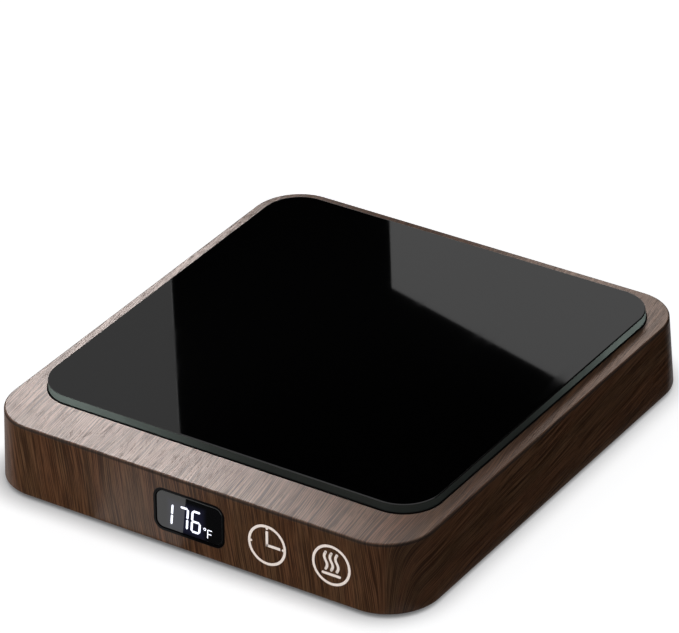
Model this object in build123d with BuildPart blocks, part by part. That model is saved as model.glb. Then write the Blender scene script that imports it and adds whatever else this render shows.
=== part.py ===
from build123d import *

import os
from math import cos, radians, sin, sqrt, tan

# An electric mug warmer: a square glass plate, heated from below, set in a low housing.
# Millimetres. +Z is up and the control face looks along -Y. The origin is the middle of
# the footprint, on the surface that the feet stand on.

# Housing: a shallow box, open below, whose walls lean inwards as they rise
HOUSING_WIDTH = 130.0  # along X, at the bottom edge
HOUSING_DEPTH = 139.0  # along Y, at the bottom edge
HOUSING_HEIGHT = 20.0
CORNER_RADIUS = 14.4
WALL_LEAN = 3.0  # degrees from upright
WALL = 2.2
DECK = 2.8
RIB = 1.2
TOP_EDGE_ROUND = 0.5
BOTTOM_EDGE_ROUND = 0.3

# Base cover: closes the housing from below, flush with its bottom edge
BASE_THICKNESS = 2.0
BASE_RIM = 1.2  # wall left outside the cover
COVER_GAP = 0.2
LOCATING_RIB_HEIGHT = 1.5
VENT_LENGTH = 26.0
VENT_WIDTH = 2.0
VENT_PITCH = 5.0
VENT_ROWS = 6
VENT_COLUMN_PITCH = 46.0
VENT_SETBACK = 14.0

# Corner screws, driven up through cups in the base into bosses in the housing
SCREW_INSET = 9.5  # from the housing's sides
BOSS_RADIUS = 3.25
CUP_RADIUS = 4.2
CUP_HEIGHT = 2.2
CUP_FLOOR = 1.4
SCREW_SHANK_RADIUS = 1.2
SCREW_HEAD_RADIUS = 2.4
SCREW_HEAD_HEIGHT = 1.8
SCREW_BITE = 7.0  # length inside the boss
SCREW_GAP = 0.05  # between a shank and its pilot hole
HEAD_GAP = 0.4

# Rubber feet
FOOT_RADIUS = 5.5
FOOT_PROUD = 1.2
FOOT_SEAT = 0.8
FOOT_INSET = 21.0
FOOT_GAP = 0.1
FOOT_EDGE = 0.4

# Glass plate, in a shallow recess in the deck
PLATE_SIDE_MARGIN = 5.1  # deck left showing beside the plate
PLATE_FRONT_MARGIN = 14.1
PLATE_BACK_MARGIN = 5.7
PLATE_CORNER_RADIUS = 10.5
PLATE_THICKNESS = 3.0
PLATE_EDGE_ROUND = 0.8
PLATE_RECESS = 0.9
PLATE_GAP = 0.4
GASKET_THICKNESS = 0.6
GASKET_WIDTH = 6.0
GASKET_INSET = 0.6  # from the plate's edge

# Heater, pressed to the plate's underside by a pan-shaped bracket
LEDGE_WIDTH = 10.5  # deck between the plate's edge and the round opening
HEATER_GAP = 2.0  # between the heater and the opening
SPREADER_THICKNESS = 1.5
SPREADER_EDGE = 0.4
MICA_THICKNESS = 0.5
TRACK_THICKNESS = 0.3
FELT_THICKNESS = 2.5
TRACK_RINGS = 8
TRACK_WIDTH = 3.0
TRACK_EDGE = 3.0  # from the heater's rim
TRACK_INNER_RADIUS = 12.0
TRACK_SLIT = 6.0  # half the width of the slit where the rings turn back
PAD_RADIUS = 2.2
BRACKET_SHEET = 0.8
BRACKET_RIM_HEIGHT = 2.4
BRACKET_GAP = 0.3
EAR_RADIUS = 4.2
BRACKET_BOSS_RADIUS = 3.2
BRACKET_BOSS_MERGE = 0.5  # how far a boss grows out of the collar
BRACKET_SCREW_BITE = 2.8
COLLAR_HEIGHT = 2.5
RIB_ANGLES = (-18, 0, 18, 68, 112, 162, 180, 198)

# Temperature sensor and thermal fuse, under the heater
SENSOR_RADIUS = 2.0
SENSOR_SHOULDER_RADIUS = 3.0
SENSOR_TAIL = 2.5
SENSOR_GAP = 0.3
CLIP_SHEET = 0.5
CLIP_WIDTH = 8.0
SENSOR_CLIP_LENGTH = 22.0
FUSE_RADIUS = 2.0
FUSE_LENGTH = 11.0
FUSE_CONE = 2.0
FUSE_OFFSET = 4.5  # from the terminal pad to the fuse's near end
FUSE_CLIP_WIDTH = 4.0
FUSE_CLIP_FOOT = 7.0

# Main board, on posts at the front of the base
BOARD_SIDE_GAP = 0.8
BOARD_FRONT_GAP = 1.2  # behind the display board's screws
BOARD_DEPTH = 26.0
BOARD_THICKNESS = 1.6
BOARD_CORNER = 1.0
POST_HEIGHT = 2.6
POST_RADIUS = 2.6
BOARD_SCREW_INSET = 3.4
BOARD_SCREW_RADIUS = 1.0
BOARD_SCREW_HEAD_RADIUS = 1.9
BOARD_SCREW_HEAD_HEIGHT = 1.3
BOARD_SCREW_BITE = 2.4

# Parts on the main board; each place is a share of the board's half width, from its middle,
# and a distance behind the board's front edge
TRANSFORMER_SIZE = (12.0, 10.5, 8.0)
TRANSFORMER_PLACE = (-0.37, 7.0)
FILTER_CAPACITOR_SIZE = (13.0, 6.0, 8.0)
FILTER_CAPACITOR_PLACE = (-0.66, 6.0)
STORAGE_CAPACITOR_RADIUS = 3.9
STORAGE_CAPACITOR_LENGTH = 12.0
STORAGE_CAPACITOR_PLACE = (-0.07, 6.0)
SWITCH_BODY = (10.0, 9.0, 4.4)
SWITCH_TAB_LENGTH = 6.0
SWITCH_TAB_THICKNESS = 1.3
SWITCH_PLACE = (0.5, 8.0)
BUZZER_RADIUS = 4.5
BUZZER_HEIGHT = 5.5
BUZZER_PLACE = (0.77, 7.5)
BOARD_FUSE_RADIUS = 1.8
BOARD_FUSE_LENGTH = 11.0
BOARD_FUSE_PLACE = (-0.9, 13.0)
CHIP_SIZE = (10.0, 4.0, 1.6)
CHIP_PLACE = (-0.08, 15.0)

# Box headers along the main board's back edge
CONNECTOR_HEIGHT = 4.0
CONNECTOR_DEPTH = 6.0
CONNECTOR_WALL = 0.8
CONNECTOR_INSET = 0.5  # from the board's back edge
CONNECTOR_GAP = 0.65  # beside a screw's head
POWER_CONNECTOR_WIDTH = 8.0
SENSOR_CONNECTOR_WIDTH = 5.0
SENSOR_CONNECTOR_X = -13.0

# Terminal block for the incoming supply, behind the supply leads
TERMINAL_SIZE = (10.0, 14.0, 8.0)
TERMINAL_PITCH = 5.0
TERMINAL_SHIFT = 2.5  # beside the supply connector's centre line
TERMINAL_INSET = 16.5
TERMINAL_SCREW_RADIUS = 1.6

# Control face: display window and two touch keys in a line across the front wall
CONTROL_RISE = 0.25  # above the middle of the room behind the wall
WINDOW_WIDTH = 21.7
WINDOW_HEIGHT = 12.3
WINDOW_RADIUS = 3.0
BEZEL_RING = 0.6
BEZEL_GAP = 0.05
BEZEL_FLANGE = 0.8
BEZEL_FLANGE_THICKNESS = 1.0
BEZEL_ROOM = 0.2  # left above and below the flange
LENS_SUNK = 0.15
LENS_THICKNESS = 1.6
LENS_BEVEL = 0.3
LENS_GAP = 0.05
LENS_LIP = 0.9
HEAT_KEY_INSET = 22.3  # from the housing's side
KEY_PITCH = 19.1
KEY_POCKET = 0.8
KEY_POCKET_RADIUS = 4.0
CONTACT_SHEET = 0.3
CONTACT_WIDTH = 3.0
CONTACT_REACH = 2.6  # of the foot and the pad, each side of the key's middle
CONTACT_BEND = 0.7
DISPLAY_THICKNESS = 5.5
DISPLAY_MARGIN = 0.3  # of the digit block inside the bezel's flange
DISPLAY_BOARD_THICKNESS = 1.2
DISPLAY_BOARD_GAP = 1.0
DISPLAY_BOARD_END = 6.0  # past the heat key
DISPLAY_BOSS_RADIUS = 2.2
DIGIT_WIDTH = 2.7
DIGIT_HEIGHT = 6.0
DIGIT_PITCH = 4.3
DIGIT_COUNT = 3
SEGMENT_WIDTH = 0.7
SEGMENT_GAP = 0.2
SEGMENT_SUNK = 0.2
DIGIT_SLANT = 5.0  # degrees

# Cord gland: a rubber bush in the back wall, level with the middle of the display
GLAND_BORE_RADIUS = 2.9
GLAND_NECK_RADIUS = 4.4
GLAND_FLANGE_RADIUS = 5.6
GLAND_FLANGE = 1.2
GLAND_SEAT = 1.0  # how deep the outer flange is let into the wall
GLAND_TAIL = 3.0
GLAND_GAP = 0.1

# Internal leads
POWER_LEAD_RADIUS = 0.9
POWER_LEAD_PITCH = 2.6
HEATER_LEAD_PITCH = 3.9
SENSOR_LEAD_RADIUS = 0.5
SENSOR_LEAD_PITCH = 1.5
LEAD_HOLE_GAP = 0.5
LEAD_FLOOR_GAP = 0.2
LEAD_STRAIGHT = 5.0  # run into a connector
SUPPLY_RUN = 52.0  # of the supply leads along the base
GUIDE_LENGTH = 3.0
GUIDE_HEIGHT = 3.5
GUIDE_SETBACKS = (14.0, 34.0)  # in front of the terminal block
RIBBON_X = 10.0
RIBBON_WIDTH = 8.0
RIBBON_THICKNESS = 0.6
RIBBON_BEND = 1.5
RIBBON_RISE = 3.2  # above the middle of the display board
SOCKET_DEPTH = 2.6
SOCKET_HEIGHT = 3.2
SOCKET_END = 1.0  # past each side of the ribbon
BEND_SHARE = 0.45


def lean(height):
    """How far a wall has moved in at a height above the bottom edge."""
    return height * tan(radians(WALL_LEAN))


# Levels above the floor
bottom = FOOT_PROUD
base_top = bottom + BASE_THICKNESS
boss_bottom = base_top + CUP_HEIGHT
board_bottom = base_top + POST_HEIGHT
board_top = board_bottom + BOARD_THICKNESS
deck_top = bottom + HOUSING_HEIGHT
deck_underside = deck_top - DECK
plate_seat = deck_top - PLATE_RECESS
plate_bottom = plate_seat + GASKET_THICKNESS
spreader_bottom = plate_bottom - SPREADER_THICKNESS
track_top = spreader_bottom - MICA_THICKNESS
track_bottom = track_top - TRACK_THICKNESS
felt_top = track_bottom - MICA_THICKNESS
felt_bottom = felt_top - FELT_THICKNESS
bracket_bottom = felt_bottom - BRACKET_SHEET
pin_level = board_top + CONNECTOR_HEIGHT / 2

# Plan sizes
screw_x = HOUSING_WIDTH / 2 - SCREW_INSET
screw_y = HOUSING_DEPTH / 2 - SCREW_INSET
foot_x = HOUSING_WIDTH / 2 - FOOT_INSET
foot_y = HOUSING_DEPTH / 2 - FOOT_INSET
plate_width = HOUSING_WIDTH - 2 * lean(HOUSING_HEIGHT) - 2 * PLATE_SIDE_MARGIN
plate_depth = HOUSING_DEPTH - 2 * lean(HOUSING_HEIGHT) - PLATE_FRONT_MARGIN - PLATE_BACK_MARGIN
plate_y = (PLATE_FRONT_MARGIN - PLATE_BACK_MARGIN) / 2
opening_radius = min(plate_width, plate_depth) / 2 - LEDGE_WIDTH
heater_radius = opening_radius - HEATER_GAP
pan_radius = heater_radius + BRACKET_GAP + BRACKET_SHEET
ear_circle = opening_radius + RIB + BRACKET_BOSS_RADIUS - BRACKET_BOSS_MERGE

# The control face's own plane leans with the front wall, and depths are measured behind it
slope = radians(WALL_LEAN)
control_height = (BASE_THICKNESS + HOUSING_HEIGHT - DECK) / 2 + CONTROL_RISE
room_below = control_height - BASE_THICKNESS
room_above = HOUSING_HEIGHT - DECK - control_height
face = Plane(
    origin=(0, lean(control_height) - HOUSING_DEPTH / 2, bottom + control_height),
    x_dir=(1, 0, 0),
    z_dir=(0, -cos(slope), sin(slope)),
)
wall_back = WALL * cos(slope)
heat_key_x = HOUSING_WIDTH / 2 - HEAT_KEY_INSET
timer_key_x = heat_key_x - KEY_PITCH
flange_back = wall_back + BEZEL_FLANGE_THICKNESS
display_board_front = flange_back + DISPLAY_THICKNESS
display_board_back = display_board_front + DISPLAY_BOARD_THICKNESS
display_boss_x = WINDOW_WIDTH / 2 + BEZEL_FLANGE + DISPLAY_BOSS_RADIUS + DISPLAY_BOARD_GAP
display_screw_places = [(-display_boss_x, 0), ((timer_key_x + heat_key_x) / 2, 0)]
display_board_left = -display_boss_x - DISPLAY_BOSS_RADIUS - DISPLAY_BOARD_GAP
display_board_right = heat_key_x + DISPLAY_BOARD_END
display_board_width = display_board_right - display_board_left
display_board_middle = (display_board_left + display_board_right) / 2
display_board_height = 2 * (min(room_below, room_above) - DISPLAY_BOARD_GAP)

# Main board
board_width = 2 * (screw_x - BOSS_RADIUS - BOARD_SIDE_GAP)
board_front = face.origin.Y + display_board_back + BOARD_SCREW_HEAD_HEIGHT + BOARD_FRONT_GAP
board_back = board_front + BOARD_DEPTH
board_screw_x = board_width / 2 - BOARD_SCREW_INSET
connector_y = board_back - CONNECTOR_INSET - CONNECTOR_DEPTH / 2
connector_clearance = BOARD_SCREW_HEAD_RADIUS + CONNECTOR_GAP + POWER_CONNECTOR_WIDTH / 2
supply_connector_x = connector_clearance - board_screw_x
terminal_x = supply_connector_x - TERMINAL_SHIFT
terminal_y = HOUSING_DEPTH / 2 - TERMINAL_INSET
terminal_front = terminal_y - TERMINAL_SIZE[1] / 2

# The heater is drawn with its slit towards its own -Y and turned to face the housing's +X side.
# Its two terminal pads, in its own plan:
pad_circle = heater_radius - TRACK_EDGE - TRACK_WIDTH / 2
pad_shift = TRACK_SLIT + PAD_RADIUS
return_pad = (0, -pad_circle)
ring_pad = (-pad_shift, -sqrt(pad_circle**2 - pad_shift**2))


def outline(inset=0.0, mode=Mode.ADD):
    """The housing's plan at its bottom edge, moved in all round by inset."""
    RectangleRounded(
        HOUSING_WIDTH - 2 * inset, HOUSING_DEPTH - 2 * inset, CORNER_RADIUS - inset, mode=mode
    )


def plate_plane(level):
    """A level plane whose origin is under the middle of the glass plate."""
    return Plane((0, plate_y, level))


def heater_plane(level):
    """The same, turned so that the heater's slit faces +X."""
    return Plane((0, plate_y, level), x_dir=(0, 1, 0))


def behind_face(depth):
    """The control face's plane, moved back into the housing."""
    return face.offset(-depth)


def facing_down(x, y, level):
    """A level plane that looks at the floor."""
    return Plane((x, y, level), x_dir=(1, 0, 0), z_dir=(0, 0, -1))


def screws(planes, shank_radius, bite, head_radius, head_height):
    """Pan-head screws with cross slots; each plane lies under a head and looks at the driver."""
    slot_width = head_radius / 3
    slot_depth = head_height / 2
    with BuildPart() as group:
        for plane in planes:
            with BuildSketch(plane):
                Circle(head_radius)
            extrude(amount=head_height)
            with BuildSketch(plane):
                Circle(shank_radius)
            extrude(amount=-bite)
            with BuildSketch(plane.offset(head_height)):
                Rectangle(slot_width, 1.3 * head_radius)
                Rectangle(1.3 * head_radius, slot_width)
            extrude(amount=-slot_depth, mode=Mode.SUBTRACT)
    return group.part


def bend_radii(points):
    """The radius at each inner point, as large as the shorter of its two runs allows."""
    radii = []
    for before, corner, after in zip(points, points[1:], points[2:]):
        run_in = Vector(corner) - Vector(before)
        run_out = Vector(after) - Vector(corner)
        half_turn = radians(run_in.get_angle(run_out)) / 2
        radii.append(BEND_SHARE * min(run_in.length, run_out.length) / tan(half_turn))
    return radii


def lead(points, radius):
    """A round lead: straight runs joined by tangent arcs."""
    with BuildPart() as tube:
        with BuildLine() as route:
            FilletPolyline(*points, radius=bend_radii(points))
        with BuildSketch(Plane(route.line @ 0, z_dir=route.line % 0)):
            Circle(radius)
        sweep(path=route.line)
    return tube.part


def block(x, y, level, size):
    """A plain block standing on a level, centred on x and y."""
    with BuildPart() as solid:
        with BuildSketch(Plane((x, y, level))):
            Rectangle(size[0], size[1])
        extrude(amount=size[2])
    return solid.part


def header(x, y, width, depth, turn):
    """A box header on the main board; its mouth looks along +X, turned by an angle about Z."""
    stand = Plane((x, y, board_top)).rotated((0, 0, turn))
    mouth = Plane(stand.from_local_coords((depth / 2, 0, CONNECTOR_HEIGHT / 2)), z_dir=stand.x_dir)
    with BuildPart() as shell:
        with BuildSketch(stand):
            Rectangle(depth, width)
        extrude(amount=CONNECTOR_HEIGHT)
        with BuildSketch(mouth):
            Rectangle(width - 2 * CONNECTOR_WALL, CONNECTOR_HEIGHT - 2 * CONNECTOR_WALL)
        extrude(amount=-CONNECTOR_WALL / 2, mode=Mode.SUBTRACT)
    return shell.part


# The space under the deck, with the bosses, ribs and collar left standing
with BuildPart() as cavity:
    with BuildSketch(Plane.XY.offset(bottom)):
        outline(WALL)
    extrude(amount=deck_underside - bottom, taper=WALL_LEAN)
    with BuildSketch(Plane.XY.offset(boss_bottom)):
        with GridLocations(2 * screw_x, 2 * screw_y, 2, 2):
            Circle(BOSS_RADIUS)
        with GridLocations(HOUSING_WIDTH, 2 * screw_y, 2, 2):
            Rectangle(2 * SCREW_INSET, RIB)
        with GridLocations(2 * screw_x, HOUSING_DEPTH, 2, 2):
            Rectangle(RIB, 2 * SCREW_INSET)
    extrude(amount=deck_underside - boss_bottom, mode=Mode.SUBTRACT)
    with BuildSketch(plate_plane(felt_bottom)):
        with PolarLocations(ear_circle, 4, start_angle=45):
            Circle(BRACKET_BOSS_RADIUS)
    extrude(amount=deck_underside - felt_bottom, mode=Mode.SUBTRACT)
    with BuildSketch(plate_plane(deck_underside - COLLAR_HEIGHT)):
        Circle(opening_radius + RIB)
        for angle in RIB_ANGLES:
            with PolarLocations(opening_radius + HOUSING_DEPTH / 4, 1, start_angle=angle):
                Rectangle(HOUSING_DEPTH / 2, RIB)
        Circle(opening_radius, mode=Mode.SUBTRACT)
    extrude(amount=COLLAR_HEIGHT, mode=Mode.SUBTRACT)
    with BuildSketch(behind_face(display_board_front)):
        with Locations(*display_screw_places):
            Circle(DISPLAY_BOSS_RADIUS)
    extrude(amount=display_board_front, mode=Mode.SUBTRACT)
    with BuildSketch(behind_face(wall_back - KEY_POCKET)):
        with Locations((timer_key_x, 0), (heat_key_x, 0)):
            Circle(KEY_POCKET_RADIUS)
    extrude(amount=-2 * KEY_POCKET)

# The moulded housing
gland_y = HOUSING_DEPTH / 2 - lean(control_height) - GLAND_SEAT
gland_plane = Plane((0, gland_y, bottom + control_height), x_dir=(-1, 0, 0), z_dir=(0, 1, 0))
with BuildPart() as top_housing:
    with BuildSketch(Plane.XY.offset(bottom)):
        outline()
    extrude(amount=HOUSING_HEIGHT, taper=WALL_LEAN)
    fillet(top_housing.faces().sort_by(Axis.Z)[-1].edges(), TOP_EDGE_ROUND)
    fillet(top_housing.faces().sort_by(Axis.Z)[0].edges(), BOTTOM_EDGE_ROUND)
    add(cavity.part, mode=Mode.SUBTRACT)
    with BuildSketch(Plane.XY.offset(bottom)):
        outline(BASE_RIM)
    extrude(amount=BASE_THICKNESS, taper=WALL_LEAN, mode=Mode.SUBTRACT)
    with BuildSketch(plate_plane(plate_seat)):
        RectangleRounded(
            plate_width + 2 * PLATE_GAP, plate_depth + 2 * PLATE_GAP, PLATE_CORNER_RADIUS + PLATE_GAP
        )
    extrude(amount=PLATE_RECESS, mode=Mode.SUBTRACT)
    with BuildSketch(plate_plane(deck_underside)):
        Circle(opening_radius)
    extrude(amount=DECK, mode=Mode.SUBTRACT)
    with Locations(Plane.XY.offset(boss_bottom)):
        with GridLocations(2 * screw_x, 2 * screw_y, 2, 2):
            Cylinder(
                SCREW_SHANK_RADIUS + SCREW_GAP, SCREW_BITE + SCREW_GAP,
                align=(Align.CENTER, Align.CENTER, Align.MIN), mode=Mode.SUBTRACT,
            )
    with BuildSketch(plate_plane(felt_bottom)):
        with PolarLocations(ear_circle, 4, start_angle=45):
            Circle(BOARD_SCREW_RADIUS + SCREW_GAP)
    extrude(amount=BRACKET_SCREW_BITE + SCREW_GAP, mode=Mode.SUBTRACT)
    with BuildSketch(behind_face(display_board_front)):
        with Locations(*display_screw_places):
            Circle(BOARD_SCREW_RADIUS + SCREW_GAP)
    extrude(amount=BOARD_SCREW_BITE + SCREW_GAP, mode=Mode.SUBTRACT)
    with BuildSketch(face):
        RectangleRounded(WINDOW_WIDTH, WINDOW_HEIGHT, WINDOW_RADIUS)
    extrude(amount=WALL, both=True, mode=Mode.SUBTRACT)
    with BuildSketch(gland_plane):
        Circle(GLAND_FLANGE_RADIUS + GLAND_GAP)
    extrude(amount=2 * GLAND_SEAT, mode=Mode.SUBTRACT)
    with BuildSketch(gland_plane):
        Circle(GLAND_NECK_RADIUS + GLAND_GAP)
    extrude(amount=-WALL, mode=Mode.SUBTRACT)

# The base cover
locating_inset = WALL + lean(BASE_THICKNESS + LOCATING_RIB_HEIGHT) + COVER_GAP
rib_break = display_board_width + 2 * DISPLAY_BOARD_GAP
with BuildPart() as base_cover:
    with BuildSketch(Plane.XY.offset(bottom)):
        outline(BASE_RIM + COVER_GAP)
    extrude(amount=BASE_THICKNESS, taper=WALL_LEAN)
    with BuildSketch(Plane.XY.offset(base_top)):
        outline(locating_inset)
        outline(locating_inset + RIB, mode=Mode.SUBTRACT)
        with Locations((display_board_middle, -HOUSING_DEPTH / 2)):
            Rectangle(rib_break, HOUSING_DEPTH / 2, mode=Mode.SUBTRACT)
    extrude(amount=LOCATING_RIB_HEIGHT)
    with BuildSketch(Plane.XY.offset(base_top)):
        with GridLocations(2 * screw_x, 2 * screw_y, 2, 2):
            Circle(CUP_RADIUS)
    extrude(amount=CUP_HEIGHT)
    with Locations(facing_down(0, 0, bottom)):
        with GridLocations(2 * screw_x, 2 * screw_y, 2, 2):
            CounterBoreHole(
                SCREW_SHANK_RADIUS + HEAD_GAP / 2, SCREW_HEAD_RADIUS + HEAD_GAP,
                BASE_THICKNESS + CUP_HEIGHT - CUP_FLOOR, BASE_THICKNESS + CUP_HEIGHT,
            )
        with GridLocations(2 * foot_x, 2 * foot_y, 2, 2):
            Hole(FOOT_RADIUS + FOOT_GAP, FOOT_SEAT)
    with BuildSketch(Plane((0, VENT_SETBACK, bottom))):
        with GridLocations(VENT_COLUMN_PITCH, VENT_PITCH, 2, VENT_ROWS):
            SlotOverall(VENT_LENGTH, VENT_WIDTH)
    extrude(amount=BASE_THICKNESS, mode=Mode.SUBTRACT)
    with BuildSketch(Plane((0, (board_front + board_back) / 2, base_top))):
        with GridLocations(2 * board_screw_x, BOARD_DEPTH - 2 * BOARD_SCREW_INSET, 2, 2):
            Circle(POST_RADIUS)
            Circle(BOARD_SCREW_RADIUS + SCREW_GAP, mode=Mode.SUBTRACT)
    extrude(amount=POST_HEIGHT)
    for setback in GUIDE_SETBACKS:
        with BuildSketch(Plane((terminal_x, terminal_front - setback, base_top))):
            with GridLocations(TERMINAL_PITCH, 0, 3, 1):
                Rectangle(RIB, GUIDE_LENGTH)
        extrude(amount=GUIDE_HEIGHT)

# Four rubber feet, pressed into their seats
with BuildPart() as rubber_feet:
    with BuildSketch(Plane.XY):
        with GridLocations(2 * foot_x, 2 * foot_y, 2, 2):
            Circle(FOOT_RADIUS)
    extrude(amount=FOOT_PROUD + FOOT_SEAT)
    chamfer(rubber_feet.edges().group_by(Axis.Z)[0], FOOT_EDGE)

# Corner screws
cup_floor = boss_bottom - CUP_FLOOR
base_screw_planes = [
    facing_down(x, y, cup_floor) for x in (-screw_x, screw_x) for y in (-screw_y, screw_y)
]
with BuildPart() as base_screws:
    add(screws(
        base_screw_planes, SCREW_SHANK_RADIUS, CUP_FLOOR + SCREW_BITE, SCREW_HEAD_RADIUS,
        SCREW_HEAD_HEIGHT,
    ))

# Glass plate with a softly rounded top edge
with BuildPart() as glass_plate:
    with BuildSketch(plate_plane(plate_bottom)):
        RectangleRounded(plate_width, plate_depth, PLATE_CORNER_RADIUS)
    extrude(amount=PLATE_THICKNESS)
    fillet(glass_plate.faces().sort_by(Axis.Z)[-1].edges(), PLATE_EDGE_ROUND)

# Silicone gasket between the plate and the deck
with BuildPart() as plate_gasket:
    with BuildSketch(plate_plane(plate_seat)):
        RectangleRounded(
            plate_width - 2 * GASKET_INSET, plate_depth - 2 * GASKET_INSET,
            PLATE_CORNER_RADIUS - GASKET_INSET,
        )
        RectangleRounded(
            plate_width - 2 * (GASKET_INSET + GASKET_WIDTH),
            plate_depth - 2 * (GASKET_INSET + GASKET_WIDTH),
            PLATE_CORNER_RADIUS - GASKET_INSET - GASKET_WIDTH,
            mode=Mode.SUBTRACT,
        )
    extrude(amount=GASKET_THICKNESS)

# Aluminium disc that spreads the heat under the glass
with BuildPart() as heat_spreader:
    with BuildSketch(plate_plane(spreader_bottom)):
        Circle(heater_radius)
    extrude(amount=SPREADER_THICKNESS)
    chamfer(heat_spreader.faces().sort_by(Axis.Z)[-1].edges(), SPREADER_EDGE)

with BuildPart() as upper_mica_sheet:
    with BuildSketch(plate_plane(track_top)):
        Circle(heater_radius)
    extrude(amount=MICA_THICKNESS)

# Etched heater track: broken rings joined end to end, with a return strip up the slit
track_outer = heater_radius - TRACK_EDGE
ring_pitch = (track_outer - TRACK_INNER_RADIUS) / (TRACK_RINGS - 1)
last_side = -1 if TRACK_RINGS % 2 == 0 else 1
inner_mid = TRACK_INNER_RADIUS - TRACK_WIDTH / 2
inner_end = sqrt(inner_mid**2 - TRACK_SLIT**2)
with BuildPart() as heater_track:
    with BuildSketch(heater_plane(track_bottom)):
        for ring in range(TRACK_RINGS):
            Circle(track_outer - ring * ring_pitch)
            Circle(track_outer - ring * ring_pitch - TRACK_WIDTH, mode=Mode.SUBTRACT)
        with Locations((0, -track_outer / 2)):
            Rectangle(2 * TRACK_SLIT, track_outer, mode=Mode.SUBTRACT)
        for ring in range(TRACK_RINGS - 1):
            side = 1 if ring % 2 == 0 else -1
            turn_x = side * (TRACK_SLIT + TRACK_WIDTH / 2)
            ring_mid = track_outer - ring * ring_pitch - TRACK_WIDTH / 2
            ring_end = sqrt(ring_mid**2 - turn_x**2)
            next_end = sqrt((ring_mid - ring_pitch) ** 2 - turn_x**2)
            with Locations((turn_x, -(ring_end + next_end) / 2)):
                Rectangle(TRACK_WIDTH, ring_end - next_end + TRACK_WIDTH / 2)
        with Locations((last_side * TRACK_SLIT / 2, -inner_end)):
            Rectangle(TRACK_SLIT + TRACK_WIDTH / 2, TRACK_WIDTH)
        with Locations((0, -(inner_end + pad_circle) / 2)):
            Rectangle(TRACK_WIDTH, pad_circle - inner_end)
        with Locations(return_pad, ring_pad):
            Circle(PAD_RADIUS)
    extrude(amount=TRACK_THICKNESS)

# Lower mica sheet and felt, pierced for the leads, with room for the sensor in the felt
with BuildPart() as lower_mica_sheet:
    with BuildSketch(heater_plane(felt_top)):
        Circle(heater_radius)
        with Locations(return_pad, ring_pad):
            Circle(POWER_LEAD_RADIUS + LEAD_HOLE_GAP, mode=Mode.SUBTRACT)
    extrude(amount=MICA_THICKNESS)

with BuildPart() as insulation_felt:
    with BuildSketch(heater_plane(felt_bottom)):
        Circle(heater_radius)
        Circle(SENSOR_RADIUS + SENSOR_GAP, mode=Mode.SUBTRACT)
        with Locations(return_pad, ring_pad):
            Circle(POWER_LEAD_RADIUS + LEAD_HOLE_GAP, mode=Mode.SUBTRACT)
    extrude(amount=FELT_THICKNESS)

# Pressed steel bracket: a pan for the felt, with four ears under the deck's bosses
with BuildPart() as heater_bracket:
    with BuildSketch(heater_plane(bracket_bottom)):
        Circle(pan_radius)
        with PolarLocations(ear_circle / 2, 4, start_angle=45):
            Rectangle(ear_circle, 2 * EAR_RADIUS)
        with PolarLocations(ear_circle, 4, start_angle=45):
            Circle(EAR_RADIUS)
            Circle(BOARD_SCREW_RADIUS + SCREW_GAP, mode=Mode.SUBTRACT)
        Circle(SENSOR_SHOULDER_RADIUS + SENSOR_GAP, mode=Mode.SUBTRACT)
        with Locations(return_pad, ring_pad):
            Circle(POWER_LEAD_RADIUS + LEAD_HOLE_GAP, mode=Mode.SUBTRACT)
    extrude(amount=BRACKET_SHEET)
    with BuildSketch(plate_plane(felt_bottom)):
        Circle(pan_radius)
        Circle(pan_radius - BRACKET_SHEET, mode=Mode.SUBTRACT)
    extrude(amount=BRACKET_RIM_HEIGHT)

bracket_screw_x = ear_circle * cos(radians(45))
bracket_screw_planes = [
    facing_down(x, plate_y + y, bracket_bottom)
    for x in (-bracket_screw_x, bracket_screw_x)
    for y in (-bracket_screw_x, bracket_screw_x)
]
with BuildPart() as bracket_screws:
    add(screws(
        bracket_screw_planes, BOARD_SCREW_RADIUS, BRACKET_SHEET + BRACKET_SCREW_BITE,
        BOARD_SCREW_HEAD_RADIUS, BOARD_SCREW_HEAD_HEIGHT,
    ))

# Temperature sensor: a capsule held up against the mica by a spring strip
sensor_bottom = bracket_bottom - CLIP_SHEET - SENSOR_TAIL
with BuildPart() as temperature_sensor:
    with BuildSketch(plate_plane(sensor_bottom)):
        Circle(SENSOR_RADIUS)
    extrude(amount=felt_top - sensor_bottom)
    with BuildSketch(plate_plane(bracket_bottom)):
        Circle(SENSOR_SHOULDER_RADIUS)
    extrude(amount=BRACKET_SHEET)

with BuildPart() as sensor_clip:
    with BuildSketch(plate_plane(bracket_bottom - CLIP_SHEET)):
        SlotOverall(SENSOR_CLIP_LENGTH, CLIP_WIDTH)
        Circle(SENSOR_RADIUS + SCREW_GAP, mode=Mode.SUBTRACT)
    extrude(amount=CLIP_SHEET)

# Thermal fuse in a strap under the bracket, in line with one heater lead
fuse_level = bracket_bottom - FUSE_RADIUS - SCREW_GAP - CLIP_SHEET
fuse_x = -ring_pad[1]
fuse_start = plate_y + ring_pad[0] - FUSE_OFFSET
fuse_end = fuse_start - FUSE_LENGTH
with BuildPart() as thermal_fuse:
    with BuildSketch(Plane((fuse_x, fuse_start, fuse_level), z_dir=(0, -1, 0))):
        Circle(FUSE_RADIUS)
    extrude(amount=FUSE_LENGTH)
    chamfer(
        thermal_fuse.faces().sort_by(Axis.Y)[0].edges(),
        length=FUSE_CONE, length2=(FUSE_RADIUS - POWER_LEAD_RADIUS),
    )

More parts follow.
